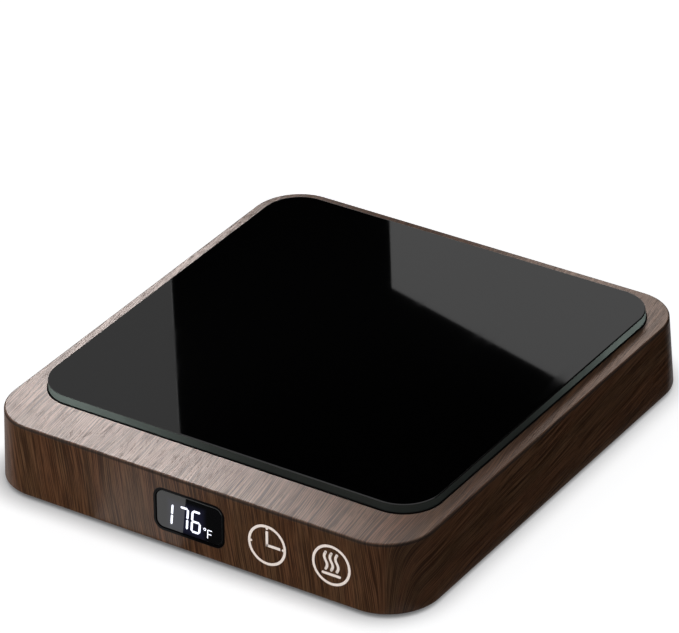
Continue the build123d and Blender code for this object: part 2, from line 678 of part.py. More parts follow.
with BuildPart() as fuse_clip:
    strap_y = fuse_start - (FUSE_LENGTH - FUSE_CONE) / 2
    with BuildSketch(Plane((fuse_x, strap_y, fuse_level), x_dir=(1, 0, 0), z_dir=(0, -1, 0))):
        Circle(FUSE_RADIUS + SCREW_GAP + CLIP_SHEET)
        with Locations((0, FUSE_RADIUS + SCREW_GAP)):
            Rectangle(FUSE_CLIP_FOOT, CLIP_SHEET, align=(Align.MAX, Align.MIN))
        Circle(FUSE_RADIUS + SCREW_GAP, mode=Mode.SUBTRACT)
    extrude(amount=FUSE_CLIP_WIDTH / 2, both=True)

# Main board and its screws
with BuildPart() as main_board:
    with BuildSketch(Plane((0, (board_front + board_back) / 2, board_bottom))):
        RectangleRounded(board_width, BOARD_DEPTH, BOARD_CORNER)
        with GridLocations(2 * board_screw_x, BOARD_DEPTH - 2 * BOARD_SCREW_INSET, 2, 2):
            Circle(BOARD_SCREW_RADIUS + SCREW_GAP, mode=Mode.SUBTRACT)
    extrude(amount=BOARD_THICKNESS)

board_screw_planes = [
    Plane((x, y, board_top))
    for x in (-board_screw_x, board_screw_x)
    for y in (board_front + BOARD_SCREW_INSET, board_back - BOARD_SCREW_INSET)
]
with BuildPart() as main_board_screws:
    add(screws(
        board_screw_planes, BOARD_SCREW_RADIUS, BOARD_THICKNESS + BOARD_SCREW_BITE,
        BOARD_SCREW_HEAD_RADIUS, BOARD_SCREW_HEAD_HEIGHT,
    ))

# Display window: bezel, lens and digit block, square to the leaning control face
flange_room = 2 * (min(room_below, room_above) - BEZEL_ROOM)
flange_height = min(WINDOW_HEIGHT + 2 * BEZEL_FLANGE, flange_room)
seat_inset = BEZEL_GAP + BEZEL_RING
lens_inset = seat_inset + LENS_GAP
lens_back = LENS_SUNK + LENS_THICKNESS
with BuildPart() as display_bezel:
    with BuildSketch(face):
        RectangleRounded(
            WINDOW_WIDTH - 2 * BEZEL_GAP, WINDOW_HEIGHT - 2 * BEZEL_GAP, WINDOW_RADIUS - BEZEL_GAP
        )
    extrude(amount=-flange_back)
    with BuildSketch(behind_face(wall_back)):
        RectangleRounded(WINDOW_WIDTH + 2 * BEZEL_FLANGE, flange_height, WINDOW_RADIUS)
    extrude(amount=-BEZEL_FLANGE_THICKNESS)
    with BuildSketch(face):
        RectangleRounded(
            WINDOW_WIDTH - 2 * seat_inset, WINDOW_HEIGHT - 2 * seat_inset, WINDOW_RADIUS - seat_inset
        )
    extrude(amount=-lens_back, mode=Mode.SUBTRACT)
    with BuildSketch(face):
        RectangleRounded(
            WINDOW_WIDTH - 2 * (lens_inset + LENS_LIP),
            WINDOW_HEIGHT - 2 * (lens_inset + LENS_LIP),
            WINDOW_RADIUS - lens_inset - LENS_LIP,
        )
    extrude(amount=-flange_back, mode=Mode.SUBTRACT)

with BuildPart() as display_lens:
    with BuildSketch(behind_face(LENS_SUNK)):
        RectangleRounded(
            WINDOW_WIDTH - 2 * lens_inset, WINDOW_HEIGHT - 2 * lens_inset, WINDOW_RADIUS - lens_inset
        )
    extrude(amount=-LENS_THICKNESS)
    chamfer(display_lens.faces().sort_by(Axis(face.origin, face.z_dir))[-1].edges(), LENS_BEVEL)

# Digit block: seven sunk segments to a digit, leaning to the right
slant = tan(radians(DIGIT_SLANT))
half_digit = DIGIT_HEIGHT / 2
with BuildPart() as digit_display:
    with BuildSketch(behind_face(flange_back)):
        RectangleRounded(
            WINDOW_WIDTH - 2 * DISPLAY_MARGIN, WINDOW_HEIGHT - 2 * DISPLAY_MARGIN, DISPLAY_MARGIN
        )
    extrude(amount=-DISPLAY_THICKNESS)
    with BuildSketch(behind_face(flange_back)):
        with GridLocations(DIGIT_PITCH, 0, DIGIT_COUNT, 1):
            for level in (-half_digit, 0, half_digit):
                with Locations((slant * level, level)):
                    Rectangle(DIGIT_WIDTH - SEGMENT_WIDTH - 2 * SEGMENT_GAP, SEGMENT_WIDTH)
            for level in (-half_digit / 2, half_digit / 2):
                for side in (-DIGIT_WIDTH / 2, DIGIT_WIDTH / 2):
                    with Locations((side + slant * level, level)):
                        Rectangle(
                            SEGMENT_WIDTH, half_digit - SEGMENT_WIDTH - 2 * SEGMENT_GAP,
                            rotation=-DIGIT_SLANT,
                        )
    extrude(amount=-SEGMENT_SUNK, mode=Mode.SUBTRACT)

with BuildPart() as display_board:
    with BuildSketch(behind_face(display_board_front)):
        with Locations((display_board_middle, 0)):
            RectangleRounded(display_board_width, display_board_height, BOARD_CORNER)
        with Locations(*display_screw_places):
            Circle(BOARD_SCREW_RADIUS + SCREW_GAP, mode=Mode.SUBTRACT)
    extrude(amount=-DISPLAY_BOARD_THICKNESS)

display_screw_planes = [
    Plane(behind_face(display_board_back).from_local_coords((x, y, 0)), z_dir=-face.z_dir)
    for x, y in display_screw_places
]
with BuildPart() as display_board_screws:
    add(screws(
        display_screw_planes, BOARD_SCREW_RADIUS, DISPLAY_BOARD_THICKNESS + BOARD_SCREW_BITE,
        BOARD_SCREW_HEAD_RADIUS, BOARD_SCREW_HEAD_HEIGHT,
    ))


def touch_spring(x):
    """A folded leaf from the display board to the pocket behind a touch key."""
    section = Plane(face.from_local_coords((x, 0, 0)), x_dir=face.z_dir, z_dir=(1, 0, 0))
    foot_depth = display_board_front - CONTACT_SHEET / 2
    pad_depth = wall_back - KEY_POCKET + CONTACT_SHEET / 2
    with BuildPart() as leaf:
        with BuildSketch(section):
            with BuildLine():
                FilletPolyline(
                    (-foot_depth, -CONTACT_REACH),
                    (-foot_depth, CONTACT_REACH),
                    (-pad_depth, -CONTACT_REACH),
                    (-pad_depth, CONTACT_REACH),
                    radius=CONTACT_BEND,
                )
            trace(line_width=CONTACT_SHEET)
        extrude(amount=CONTACT_WIDTH / 2, both=True)
    return leaf.part


with BuildPart() as timer_touch_spring:
    add(touch_spring(timer_key_x))

with BuildPart() as heat_touch_spring:
    add(touch_spring(heat_key_x))

# Ribbon from the display board down to the main board, with a socket at each end
ribbon_start = behind_face(display_board_back + SOCKET_DEPTH + SCREW_GAP).from_local_coords(
    (RIBBON_X, RIBBON_RISE, 0)
)
ribbon_drop_y = ribbon_start.Y + RIBBON_BEND + SOCKET_DEPTH
with BuildPart() as ribbon_sockets:
    with BuildSketch(behind_face(display_board_back)):
        with Locations((RIBBON_X, RIBBON_RISE)):
            Rectangle(RIBBON_WIDTH + 2 * SOCKET_END, SOCKET_HEIGHT)
    extrude(amount=-SOCKET_DEPTH)
    add(block(
        RIBBON_X, ribbon_drop_y, board_top,
        (RIBBON_WIDTH + 2 * SOCKET_END, SOCKET_DEPTH, SOCKET_HEIGHT),
    ))

with BuildPart() as display_ribbon:
    with BuildSketch(Plane((RIBBON_X, 0, 0), x_dir=(0, 1, 0), z_dir=(1, 0, 0))):
        with BuildLine():
            FilletPolyline(
                (ribbon_start.Y, ribbon_start.Z),
                (ribbon_drop_y, ribbon_start.Z),
                (ribbon_drop_y, board_top + SOCKET_HEIGHT),
                radius=RIBBON_BEND,
            )
        trace(line_width=RIBBON_THICKNESS)
    extrude(amount=RIBBON_WIDTH / 2, both=True)


def on_board(place):
    """Plan position of a part on the main board."""
    return place[0] * board_width / 2, board_front + place[1]


# Parts soldered to the main board
with BuildPart() as power_transformer:
    width, depth, height = TRANSFORMER_SIZE
    add(block(*on_board(TRANSFORMER_PLACE), board_top, (width, 0.6 * depth, height)))
    with BuildSketch(Plane((*on_board(TRANSFORMER_PLACE), board_top))):
        RectangleRounded(0.75 * width, depth, depth / 6)
    extrude(amount=0.75 * height)

with BuildPart() as filter_capacitor:
    add(block(*on_board(FILTER_CAPACITOR_PLACE), board_top, FILTER_CAPACITOR_SIZE))
    chamfer(filter_capacitor.faces().sort_by(Axis.Z)[-1].edges(), TOP_EDGE_ROUND)

with BuildPart() as storage_capacitor:
    x, y = on_board(STORAGE_CAPACITOR_PLACE)
    axis_point = (x, y, board_top + STORAGE_CAPACITOR_RADIUS)
    with BuildSketch(Plane(axis_point, z_dir=(1, 0, 0))):
        Circle(STORAGE_CAPACITOR_RADIUS)
    extrude(amount=STORAGE_CAPACITOR_LENGTH / 2, both=True)
    crimp = Plane(axis_point, z_dir=(1, 0, 0)).offset(STORAGE_CAPACITOR_LENGTH / 4)
    with BuildSketch(crimp):
        Circle(STORAGE_CAPACITOR_RADIUS)
        Circle(0.92 * STORAGE_CAPACITOR_RADIUS, mode=Mode.SUBTRACT)
    extrude(amount=STORAGE_CAPACITOR_LENGTH / 15, mode=Mode.SUBTRACT)

with BuildPart() as heater_switch:
    x, y = on_board(SWITCH_PLACE)
    add(block(x, y, board_top, SWITCH_BODY))
    tab_y = y - SWITCH_BODY[1] / 2 - SWITCH_TAB_LENGTH / 2
    add(block(x, tab_y, board_top, (SWITCH_BODY[0], SWITCH_TAB_LENGTH, SWITCH_TAB_THICKNESS)))
    with BuildSketch(Plane((x, tab_y, board_top))):
        Circle(SWITCH_BODY[0] / 5)
    extrude(amount=SWITCH_TAB_THICKNESS, mode=Mode.SUBTRACT)
    with BuildSketch(Plane((x, y + SWITCH_BODY[1] / 2, board_top))):
        with GridLocations(SWITCH_BODY[0] / 4, 0, 3, 1):
            Rectangle(SWITCH_BODY[0] / 12, SWITCH_BODY[1] / 3)
    extrude(amount=SWITCH_TAB_THICKNESS)

with BuildPart() as buzzer:
    x, y = on_board(BUZZER_PLACE)
    with BuildSketch(Plane((x, y, board_top))):
        Circle(BUZZER_RADIUS)
    extrude(amount=BUZZER_HEIGHT)
    with BuildSketch(Plane((x, y, board_top + BUZZER_HEIGHT))):
        Circle(BUZZER_RADIUS / 4)
    extrude(amount=-BUZZER_HEIGHT / 4, mode=Mode.SUBTRACT)

with BuildPart() as board_fuse:
    x, y = on_board(BOARD_FUSE_PLACE)
    fuse_axis = Plane((x, y, board_top + BOARD_FUSE_RADIUS), z_dir=(0, 1, 0))
    with BuildSketch(fuse_axis):
        Circle(0.9 * BOARD_FUSE_RADIUS)
    extrude(amount=BOARD_FUSE_LENGTH / 2, both=True)
    cap = BOARD_FUSE_LENGTH / 5
    with BuildSketch(
        fuse_axis.offset(BOARD_FUSE_LENGTH / 2 - cap), fuse_axis.offset(-BOARD_FUSE_LENGTH / 2)
    ):
        Circle(BOARD_FUSE_RADIUS)
    extrude(amount=cap)

with BuildPart() as control_chip:
    x, y = on_board(CHIP_PLACE)
    add(block(x, y, board_top, CHIP_SIZE))
    leg_pitch = CHIP_SIZE[0] / 8
    with BuildSketch(Plane((x, y, board_top))):
        with GridLocations(leg_pitch, 0, 8, 1):
            Rectangle(leg_pitch / 3, CHIP_SIZE[1] + CHIP_SIZE[2])
    extrude(amount=CHIP_SIZE[2] / 3)

# Box headers for the supply, heater and sensor leads
with BuildPart() as supply_connector:
    add(header(supply_connector_x, connector_y, POWER_CONNECTOR_WIDTH, CONNECTOR_DEPTH, 90))

heater_connector_x = fuse_x - HEATER_LEAD_PITCH / 2
with BuildPart() as heater_connector:
    add(header(heater_connector_x, connector_y, POWER_CONNECTOR_WIDTH, CONNECTOR_DEPTH, 90))

with BuildPart() as sensor_connector:
    add(header(SENSOR_CONNECTOR_X, connector_y, SENSOR_CONNECTOR_WIDTH, CONNECTOR_DEPTH, 90))

# Terminal block for the supply cord's cores, on the base
terminal_top = base_top + TERMINAL_SIZE[2]
with BuildPart() as terminal_block:
    add(block(terminal_x, terminal_y, base_top, TERMINAL_SIZE))
    with BuildSketch(Plane((terminal_x, terminal_y, terminal_top))):
        Rectangle(RIB, TERMINAL_SIZE[1])
    extrude(amount=-TERMINAL_SIZE[2] / 4, mode=Mode.SUBTRACT)
    with Locations(Plane((terminal_x, terminal_y, terminal_top))):
        with GridLocations(TERMINAL_PITCH, 0, 2, 1):
            Hole(TERMINAL_SCREW_RADIUS + SCREW_GAP, TERMINAL_SIZE[2] / 2)

with BuildPart() as terminal_screws:
    for side in (-1, 1):
        screw_plane = Plane((terminal_x + side * TERMINAL_PITCH / 2, terminal_y, terminal_top))
        with BuildSketch(screw_plane.offset(-TERMINAL_SIZE[2] / 2)):
            Circle(TERMINAL_SCREW_RADIUS)
        extrude(amount=TERMINAL_SIZE[2] / 3)
        with BuildSketch(screw_plane.offset(-TERMINAL_SIZE[2] / 6)):
            Rectangle(2 * TERMINAL_SCREW_RADIUS, TERMINAL_SCREW_RADIUS / 2)
        extrude(amount=-TERMINAL_SIZE[2] / 10, mode=Mode.SUBTRACT)

# Rubber bush for the supply cord: two flanges, a neck through the wall and a short tail
neck_length = WALL - GLAND_SEAT + lean(GLAND_FLANGE_RADIUS) + GLAND_GAP
gland_length = 2 * GLAND_FLANGE + neck_length + GLAND_TAIL
with BuildPart() as cord_grommet:
    with BuildSketch(gland_plane):
        Circle(GLAND_FLANGE_RADIUS)
    extrude(amount=GLAND_FLANGE)
    with BuildSketch(gland_plane):
        Circle(GLAND_NECK_RADIUS)
    extrude(amount=GLAND_FLANGE - gland_length)
    with BuildSketch(gland_plane.offset(-neck_length)):
        Circle(GLAND_FLANGE_RADIUS)
    extrude(amount=-GLAND_FLANGE)
    with BuildSketch(gland_plane.offset(GLAND_FLANGE)):
        Circle(GLAND_BORE_RADIUS)
    extrude(amount=-gland_length, mode=Mode.SUBTRACT)


# Each lead ends on the floor of the shallow recess in its connector's mouth
plug_y = connector_y + CONNECTOR_DEPTH / 2 - CONNECTOR_WALL / 2
lead_floor = base_top + POWER_LEAD_RADIUS + LEAD_FLOOR_GAP


def supply_route(side):
    """The supply lead on one side, from the terminal block to the main board."""
    exit_x = terminal_x + side * TERMINAL_PITCH / 2
    plug_x = supply_connector_x + side * POWER_LEAD_PITCH / 2
    return [
        (exit_x, terminal_front, lead_floor),
        (exit_x, terminal_front - SUPPLY_RUN, lead_floor),
        (plug_x, plug_y + LEAD_STRAIGHT, pin_level),
        (plug_x, plug_y, pin_level),
    ]


def sensor_route(side):
    """The sensor lead on one side, from the capsule to the main board."""
    shift = side * SENSOR_LEAD_PITCH / 2
    return [
        (shift, plate_y, sensor_bottom),
        (shift, plate_y, pin_level),
        (SENSOR_CONNECTOR_X + shift, plug_y + LEAD_STRAIGHT, pin_level),
        (SENSOR_CONNECTOR_X + shift, plug_y, pin_level),
    ]


with BuildPart() as supply_leads:
    for side in (-1, 1):
        add(lead(supply_route(side), POWER_LEAD_RADIUS))

with BuildPart() as sensor_leads:
    for side in (-1, 1):
        add(lead(sensor_route(side), SENSOR_LEAD_RADIUS))

# Heater leads: straight to the connector from one pad, and through the thermal fuse from the other
return_x = -return_pad[1]
return_plug_x = fuse_x - HEATER_LEAD_PITCH
return_route = [
    (return_x, plate_y, track_bottom),
    (return_x, plate_y, pin_level),
    (return_plug_x, fuse_start, pin_level),
    (return_plug_x, plug_y, pin_level),
]
fuse_route = [
    (fuse_x, plate_y + ring_pad[0], track_bottom),
    (fuse_x, plate_y + ring_pad[0], fuse_level),
    (fuse_x, fuse_start, fuse_level),
]
third = (fuse_end - plug_y) / 3
plug_route = [
    (fuse_x, fuse_end, fuse_level),
    (fuse_x, fuse_end - third, fuse_level),
    (fuse_x, plug_y + third, pin_level),
    (fuse_x, plug_y, pin_level),
]
with BuildPart() as heater_leads:
    for route in (return_route, fuse_route, plug_route):
        add(lead(route, POWER_LEAD_RADIUS))

os.makedirs("parts", exist_ok=True)
pieces = {
    "top_housing": top_housing,
    "base_cover": base_cover,
    "rubber_feet": rubber_feet,
    "base_screws": base_screws,
    "glass_plate": glass_plate,
    "plate_gasket": plate_gasket,
    "heat_spreader": heat_spreader,
    "upper_mica_sheet": upper_mica_sheet,
    "heater_track": heater_track,
    "lower_mica_sheet": lower_mica_sheet,
    "insulation_felt": insulation_felt,
    "heater_bracket": heater_bracket,
    "bracket_screws": bracket_screws,
    "temperature_sensor": temperature_sensor,
    "sensor_clip": sensor_clip,
    "thermal_fuse": thermal_fuse,
    "fuse_clip": fuse_clip,
    "main_board": main_board,
    "main_board_screws": main_board_screws,
    "power_transformer": power_transformer,
    "filter_capacitor": filter_capacitor,
    "storage_capacitor": storage_capacitor,
    "heater_switch": heater_switch,
    "buzzer": buzzer,
    "board_fuse": board_fuse,
    "control_chip": control_chip,
    "supply_connector": supply_connector,
    "heater_connector": heater_connector,
    "sensor_connector": sensor_connector,
    "terminal_block": terminal_block,
    "terminal_screws": terminal_screws,
    "supply_leads": supply_leads,
    "sensor_leads": sensor_leads,
    "heater_leads": heater_leads,
    "display_bezel": display_bezel,
    "display_lens": display_lens,
    "digit_display": digit_display,
    "display_board": display_board,
    "display_board_screws": display_board_screws,
    "timer_touch_spring": timer_touch_spring,
    "heat_touch_spring": heat_touch_spring,
    "ribbon_sockets": ribbon_sockets,
    "display_ribbon": display_ribbon,
    "cord_grommet": cord_grommet,
}
for name, piece in pieces.items():
    piece.part.label = name
    export_step(piece.part, f"parts/{name}.step")
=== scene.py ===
"""Dresses an electric mug warmer: a wood-film housing, a black glass plate, a lit display,
two printed touch keys and the parts inside. Run it as a script; it isn't meant to be enabled."""
from math import cos, pi, radians, sin, tan

import bmesh
import bpy
from bpy.props import FloatProperty, FloatVectorProperty, PointerProperty, StringProperty
from bpy.types import Operator, Panel, PropertyGroup
from mathutils import Matrix, Vector


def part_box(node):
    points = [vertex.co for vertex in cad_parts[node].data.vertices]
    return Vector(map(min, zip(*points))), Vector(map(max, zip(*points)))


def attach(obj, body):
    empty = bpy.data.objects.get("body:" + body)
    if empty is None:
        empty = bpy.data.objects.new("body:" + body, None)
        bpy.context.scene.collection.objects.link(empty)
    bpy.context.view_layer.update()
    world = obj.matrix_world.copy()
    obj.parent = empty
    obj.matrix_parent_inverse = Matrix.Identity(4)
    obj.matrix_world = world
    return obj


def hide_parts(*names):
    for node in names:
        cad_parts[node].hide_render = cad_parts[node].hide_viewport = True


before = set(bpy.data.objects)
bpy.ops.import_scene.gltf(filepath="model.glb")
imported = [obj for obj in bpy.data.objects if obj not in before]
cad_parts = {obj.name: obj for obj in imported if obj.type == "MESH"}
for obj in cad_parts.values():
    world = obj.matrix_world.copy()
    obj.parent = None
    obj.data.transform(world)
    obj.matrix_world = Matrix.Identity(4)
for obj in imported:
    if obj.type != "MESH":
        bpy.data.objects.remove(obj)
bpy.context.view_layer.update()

bl_info = {
    "name": "Mug Warmer",
    "version": (1, 0, 0),
    "blender": (4, 5, 0),
    "location": "View3D > Sidebar > Mug Warmer",
    "description": "Builds the looks of an electric mug warmer round its solids",
    "category": "Add Mesh",
}

MM = 0.001
BODY = "root"
HOUSING_LOW, HOUSING_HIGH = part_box("top_housing")
GLASS_LOW, GLASS_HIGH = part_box("glass_plate")

WALL_LEAN = radians(3.0)
HOUSING_CORNER = 14.4 * MM  # at the bottom edge
FILM_EDGE = 0.35 * MM  # how far the film reaches in from the wall's surface
DECK_DEPTH = 0.6 * MM  # the deck with its rounded rim
# Distances from the middle at which the film starts to turn down a side or an end wall, and at
# which it has turned
SIDE_TURN, END_TURN = (55.0 * MM, 64.0 * MM), (59.0 * MM, 68.5 * MM)
SMOOTH_LIMIT = radians(32)  # edges that turn further than this stay sharp
LENS_SMOOTH_LIMIT = radians(20)
ROUND_END = 0.499  # share of a line's width that rounds its end, just short of half
WELD = 2e-6

# The leaning front wall: local X to the right, Y up the wall, Z out of it
FACE_ORIGIN = Vector((0, -68.984, 11.05)) * MM
FACE_OUT = Vector((0, -cos(WALL_LEAN), sin(WALL_LEAN)))
FACE = Matrix((
    (1, 0, 0, FACE_ORIGIN.x),
    (0, sin(WALL_LEAN), FACE_OUT.y, FACE_ORIGIN.y),
    (0, cos(WALL_LEAN), FACE_OUT.z, FACE_ORIGIN.z),
    (0, 0, 0, 1),
))


# --- settings

def number(name, description, default, **more):
    """A number property."""
    return FloatProperty(name=name, description=description, default=default, **more)


def length(name, description, default):
    """A length property, given in millimetres."""
    return number(name, description, default * MM, min=0, unit="LENGTH", precision=5)


def power(name, description, default):
    """A lamp's power."""
    return number(name, description, default, min=0, unit="POWER")


def colour(name, description, default):
    """A colour property."""
    return FloatVectorProperty(name=name, description=description, default=default, size=3,
                               min=0, max=1, subtype="COLOR")


class MUGWARMER_PG_film(PropertyGroup):
    """The printed wood film on the housing."""
    dark: colour("Dark grain", "Colour of the darkest grain lines", (0.0310, 0.0121, 0.0046))
    middle: colour("Ground", "Colour between the grain lines", (0.0685, 0.0308, 0.0122))
    light: colour("Light grain", "Colour of the lightest grain lines", (0.1080, 0.0520, 0.0255))
    line: length("Line width", "Width of a fine grain line", 0.22)
    streak: length("Streak width", "Width of a streak", 0.6)
    band: length("Band width", "Width of a broad band of tone", 6.0)
    lay: number("Lay", "Turn of the grain from the housing's sides", radians(8),
                subtype="ANGLE")
    # painted shade: the colour of the dark line along the deck's rounded rim
    fold: colour("Fold", "Colour of the line where the film turns over the deck's rim",
                 (0.006, 0.0035, 0.002))
    roughness: number("Roughness", "Roughness of the satin film", 0.35, min=0, max=1,
                      subtype="FACTOR")
    core: colour("Moulding", "Colour of the bare moulding inside", (0.035, 0.026, 0.020))


class MUGWARMER_PG_glass(PropertyGroup):
    """The glass plate and its seal."""
    corner: length("Corner radius", "Radius of the plate's corners", 10.5)
    edge_round: length("Edge round", "Radius of the plate's top edge", 0.3)
    seal_width: length("Seal width", "Width of the black bead between glass and deck", 0.34)
    seal_proud: length("Seal height", "Height of the bead above the deck", 0.32)
    face: colour("Face", "Colour of the back-printed face", (0.0012, 0.0012, 0.0013))
    edge: colour("Edge", "Colour of the ground edge", (0.037, 0.0455, 0.0415))


class MUGWARMER_PG_display(PropertyGroup):
    """The lit reading behind the window."""
    reading: StringProperty(name="Reading", description="Digits that the display shows",
                            default="176")
    height: length("Digit height", "Height of a digit", 6.6)
    digit_width: length("Digit width", "Width of a digit", 3.0)
    stroke: length("Segment width", "Width of a lit segment", 0.62)
    slant: number("Slant", "Lean of the digits to the right", radians(5), subtype="ANGLE")
    lit: colour("Lit colour", "Colour of the lit segments", (0.86, 0.88, 1.0))
    halo: colour("Halo colour", "Colour of the glow round the digits", (0.16, 0.17, 0.42))


class MUGWARMER_PG_keys(PropertyGroup):
    """The two marks printed over the touch keys."""
    ring: length("Ring radius", "Outer radius of a ring", 5.68)
    ring_stroke: length("Ring width", "Width of a ring's line", 0.72)
    stroke: length("Line width", "Width of the lines inside a ring", 0.76)
    ink: colour("Ink", "Colour of the printed marks", (0.93, 0.82, 0.76))


class MUGWARMER_PG_stage(PropertyGroup):
    """Floor, lamps and camera."""
    floor: colour("Floor", "Colour of the floor", (0.80, 0.80, 0.81))
    contact: length("Contact shadow", "Reach of the soft shadow round the housing's foot", 7.4)
    ambient: number("Ambient light", "Strength of the even light from all round", 0.42, min=0)
    key: power("Key lamp", "Power of the large lamp behind on the left", 0.164)
    fill: power("Fill lamp", "Power of the lamp in front on the left", 3.4)
    corner: power("Corner lamp", "Power of the small lamp on the deck's back right corner; the "
                  "one on its front right corner has a fifth of that", 0.068)
    base: power("Base lamp", "Power of the lamp below the floor", 3.0)
    edges: power("Edge lamps", "Power of each lamp on the plate's edge", 0.028)
    focal: number("Focal length", "Focal length of the camera", 260.83, unit="CAMERA")


class MUGWARMER_PG_settings(PropertyGroup):
    """All settings of the mug warmer."""
    film: PointerProperty(type=MUGWARMER_PG_film)
    glass: PointerProperty(type=MUGWARMER_PG_glass)
    display: PointerProperty(type=MUGWARMER_PG_display)
    keys: PointerProperty(type=MUGWARMER_PG_keys)
    stage: PointerProperty(type=MUGWARMER_PG_stage)


# --- nodes

class NodeSet:
    """A node tree, with short ways to add what the finishes use."""

    def __init__(self, tree):
        self.tree = tree

    def give(self, socket, value):
        """Links a socket to another, or sets it to a plain value."""
        if isinstance(value, bpy.types.NodeSocket):
            self.tree.links.new(value, socket)
        else:
            socket.default_value = (*value, 1)[:4] if socket.type == "RGBA" else value

    def add(self, kind, inputs=None, **settings):
        """Adds a node and gives its outputs; inputs hold values, or sockets to link."""
        new = self.tree.nodes.new("ShaderNode" + kind)
        for name, value in settings.items():
            setattr(new, name, value)
        for name, value in (inputs or {}).items():
            self.give(new.inputs[name], value)
        return new.outputs

    def maths(self, operation, a, b=0.0, c=0.0, clamp=False):
        """A Math node's result."""
        return self.add("Math", {0: a, 1: b, 2: c}, operation=operation, use_clamp=clamp)[0]

    def plus(self, a, b, clamp=False):
        """The sum of two values."""
        return self.maths("ADD", a, b, clamp=clamp)

    def times(self, a, b):
        """The product of two values."""
        return self.maths("MULTIPLY", a, b)

    def mix(self, factor, a, b, mode="MIX"):
        """Two colours mixed."""
        return self.add("Mix", {0: factor, 6: a, 7: b}, data_type="RGBA", blend_type=mode)[2]

    def remap(self, value, low, high, to_low=0.0, to_high=1.0, kind="SMOOTHSTEP"):
        """A range made another, with soft ends."""
        return self.add("MapRange", {"Value": value, "From Min": low, "From Max": high,
                                     "To Min": to_low, "To Max": to_high},
                        interpolation_type=kind)[0]

    def vary(self, value, to_low, to_high, low=0.3, high=0.7):
        """A range made another evenly; the usual range of a noise, if none is given."""
        return self.remap(value, low, high, to_low, to_high, "LINEAR")

    def noise(self, vector, scale, detail=2.0, roughness=0.5, distortion=0.0):
        """A noise texture's value."""
        return self.add("TexNoise", {"Vector": vector, "Scale": scale, "Detail": detail,
                                     "Roughness": roughness, "Distortion": distortion})["Fac"]

    def stretch(self, vector, factors):
        """The coordinates, scaled per axis."""
        return self.add("VectorMath", {0: vector, 1: factors}, operation="MULTIPLY")[0]

    def split(self, vector):
        """The three parts of a vector."""
        return self.add("SeparateXYZ", {0: vector})


def emptied(owner):
    """The node tree of a material or world, emptied."""
    owner.use_nodes = True
    owner.node_tree.nodes.clear()
    return owner.node_tree


SOCKET_KINDS = {"Vector": "NodeSocketVector", "Streaks": "NodeSocketVector",
                "Color": "NodeSocketColor", "Fleck": "NodeSocketColor"}


def shared_group(build, labels):
    """The node group of an effect, made once. The effect's function gets the group's inputs and
    returns what comes out."""
    name = build.__name__.replace("_", " ").capitalize()
    if name in bpy.data.node_groups:
        return bpy.data.node_groups[name]
    tree = bpy.data.node_groups.new(name, "ShaderNodeTree")

    def open_sockets(direction, names):
        """The named sockets on one side of the group."""
        for label in names:
            tree.interface.new_socket(name=label, in_out=direction,
                                      socket_type=SOCKET_KINDS.get(label, "NodeSocketFloat"))
    open_sockets("INPUT", labels)
    results = build(NodeSet(tree), tree.nodes.new("NodeGroupInput").outputs)
    open_sockets("OUTPUT", results)
    out = tree.nodes.new("NodeGroupOutput").inputs
    for label, value in results.items():
        tree.links.new(value, out[label])
    return tree


class Finish(NodeSet):
    """A material with a Principled shader. Constants are set on the shader's own sockets."""

    def __init__(self, name, **constants):
        self.material = bpy.data.materials.new(name)
        super().__init__(emptied(self.material))
        shader = self.tree.nodes.new("ShaderNodeBsdfPrincipled")
        self.sockets = shader.inputs
        self.add("OutputMaterial", {"Surface": shader.outputs[0]})
        self.where = self.add("TexCoord")["Object"]
        self.feed(**constants)

    def feed(self, **values):
        """Gives the shader's sockets their values."""
        for label, value in values.items():
            self.give(self.sockets[label.replace("_", " ")], value)

    def bump(self, height, depth):
        """Feeds a height, with its depth in millimetres, to the normal."""
        self.feed(Normal=self.add("Bump", {"Height": height, "Distance": depth * MM})[0])

    def effect(self, build, **values):
        """Places a shared effect with this finish's values, and gives what comes out of it."""
        values["Vector"] = self.where
        return self.add("Group", values, node_tree=shared_group(build, values))

    def wear(self, build, depth, **values):
        """Feeds a shared effect's colour, roughness and height to the shader."""
        results = self.effect(build, **values)
        self.feed(Base_Color=results["Color"], Roughness=results["Roughness"])
        self.bump(results["Height"], depth)
        return self


# --- shared effects

def moulded_skin(n, given):
    """Moulded plastic or rubber: a fine spark-eroded skin with faint clouds of tone and dust."""
    where, ground = given["Vector"], given["Color"]
    clouds = n.noise(where, 55.0, 3.0, 0.55)
    specks = n.remap(n.noise(where, 900.0, 1.0), 0.66, 0.74)
    lit = n.mix(n.vary(clouds, 0.0, 0.35), ground, n.mix(0.08, ground, (1.0, 1.0, 1.0)))
    uneven = n.vary(clouds, -0.07, 0.07, 0.25, 0.75)
    return {"Color": n.mix(n.times(specks, given["Dust"]), lit, (0.45, 0.43, 0.40)),
            "Roughness": n.plus(given["Roughness"], uneven, clamp=True),
            "Height": n.noise(where, given["Grain"], 2.0, 0.55)}


def worked_metal(n, given):
    """Rolled or plated metal: streaks along one way, with faint stains."""
    where = given["Vector"]
    streaks = n.noise(n.stretch(where, given["Streaks"]), 1.0, 3.0, 0.6)
    mark = n.times(n.remap(n.noise(where, 120.0, 4.0, 0.6), 0.52, 0.74), given["Stain"])
    toned = n.mix(n.vary(streaks, 0.0, 0.22), given["Color"], (0.9, 0.9, 0.9), "MULTIPLY")
    darker = n.mix(1.0, toned, (0.62, 0.58, 0.54), "MULTIPLY")
    uneven = n.vary(streaks, -0.08, 0.12, 0.2, 0.8)
    return {"Color": n.mix(mark, toned, darker),
            "Roughness": n.plus(given["Roughness"], uneven, clamp=True),
            "Height": streaks}


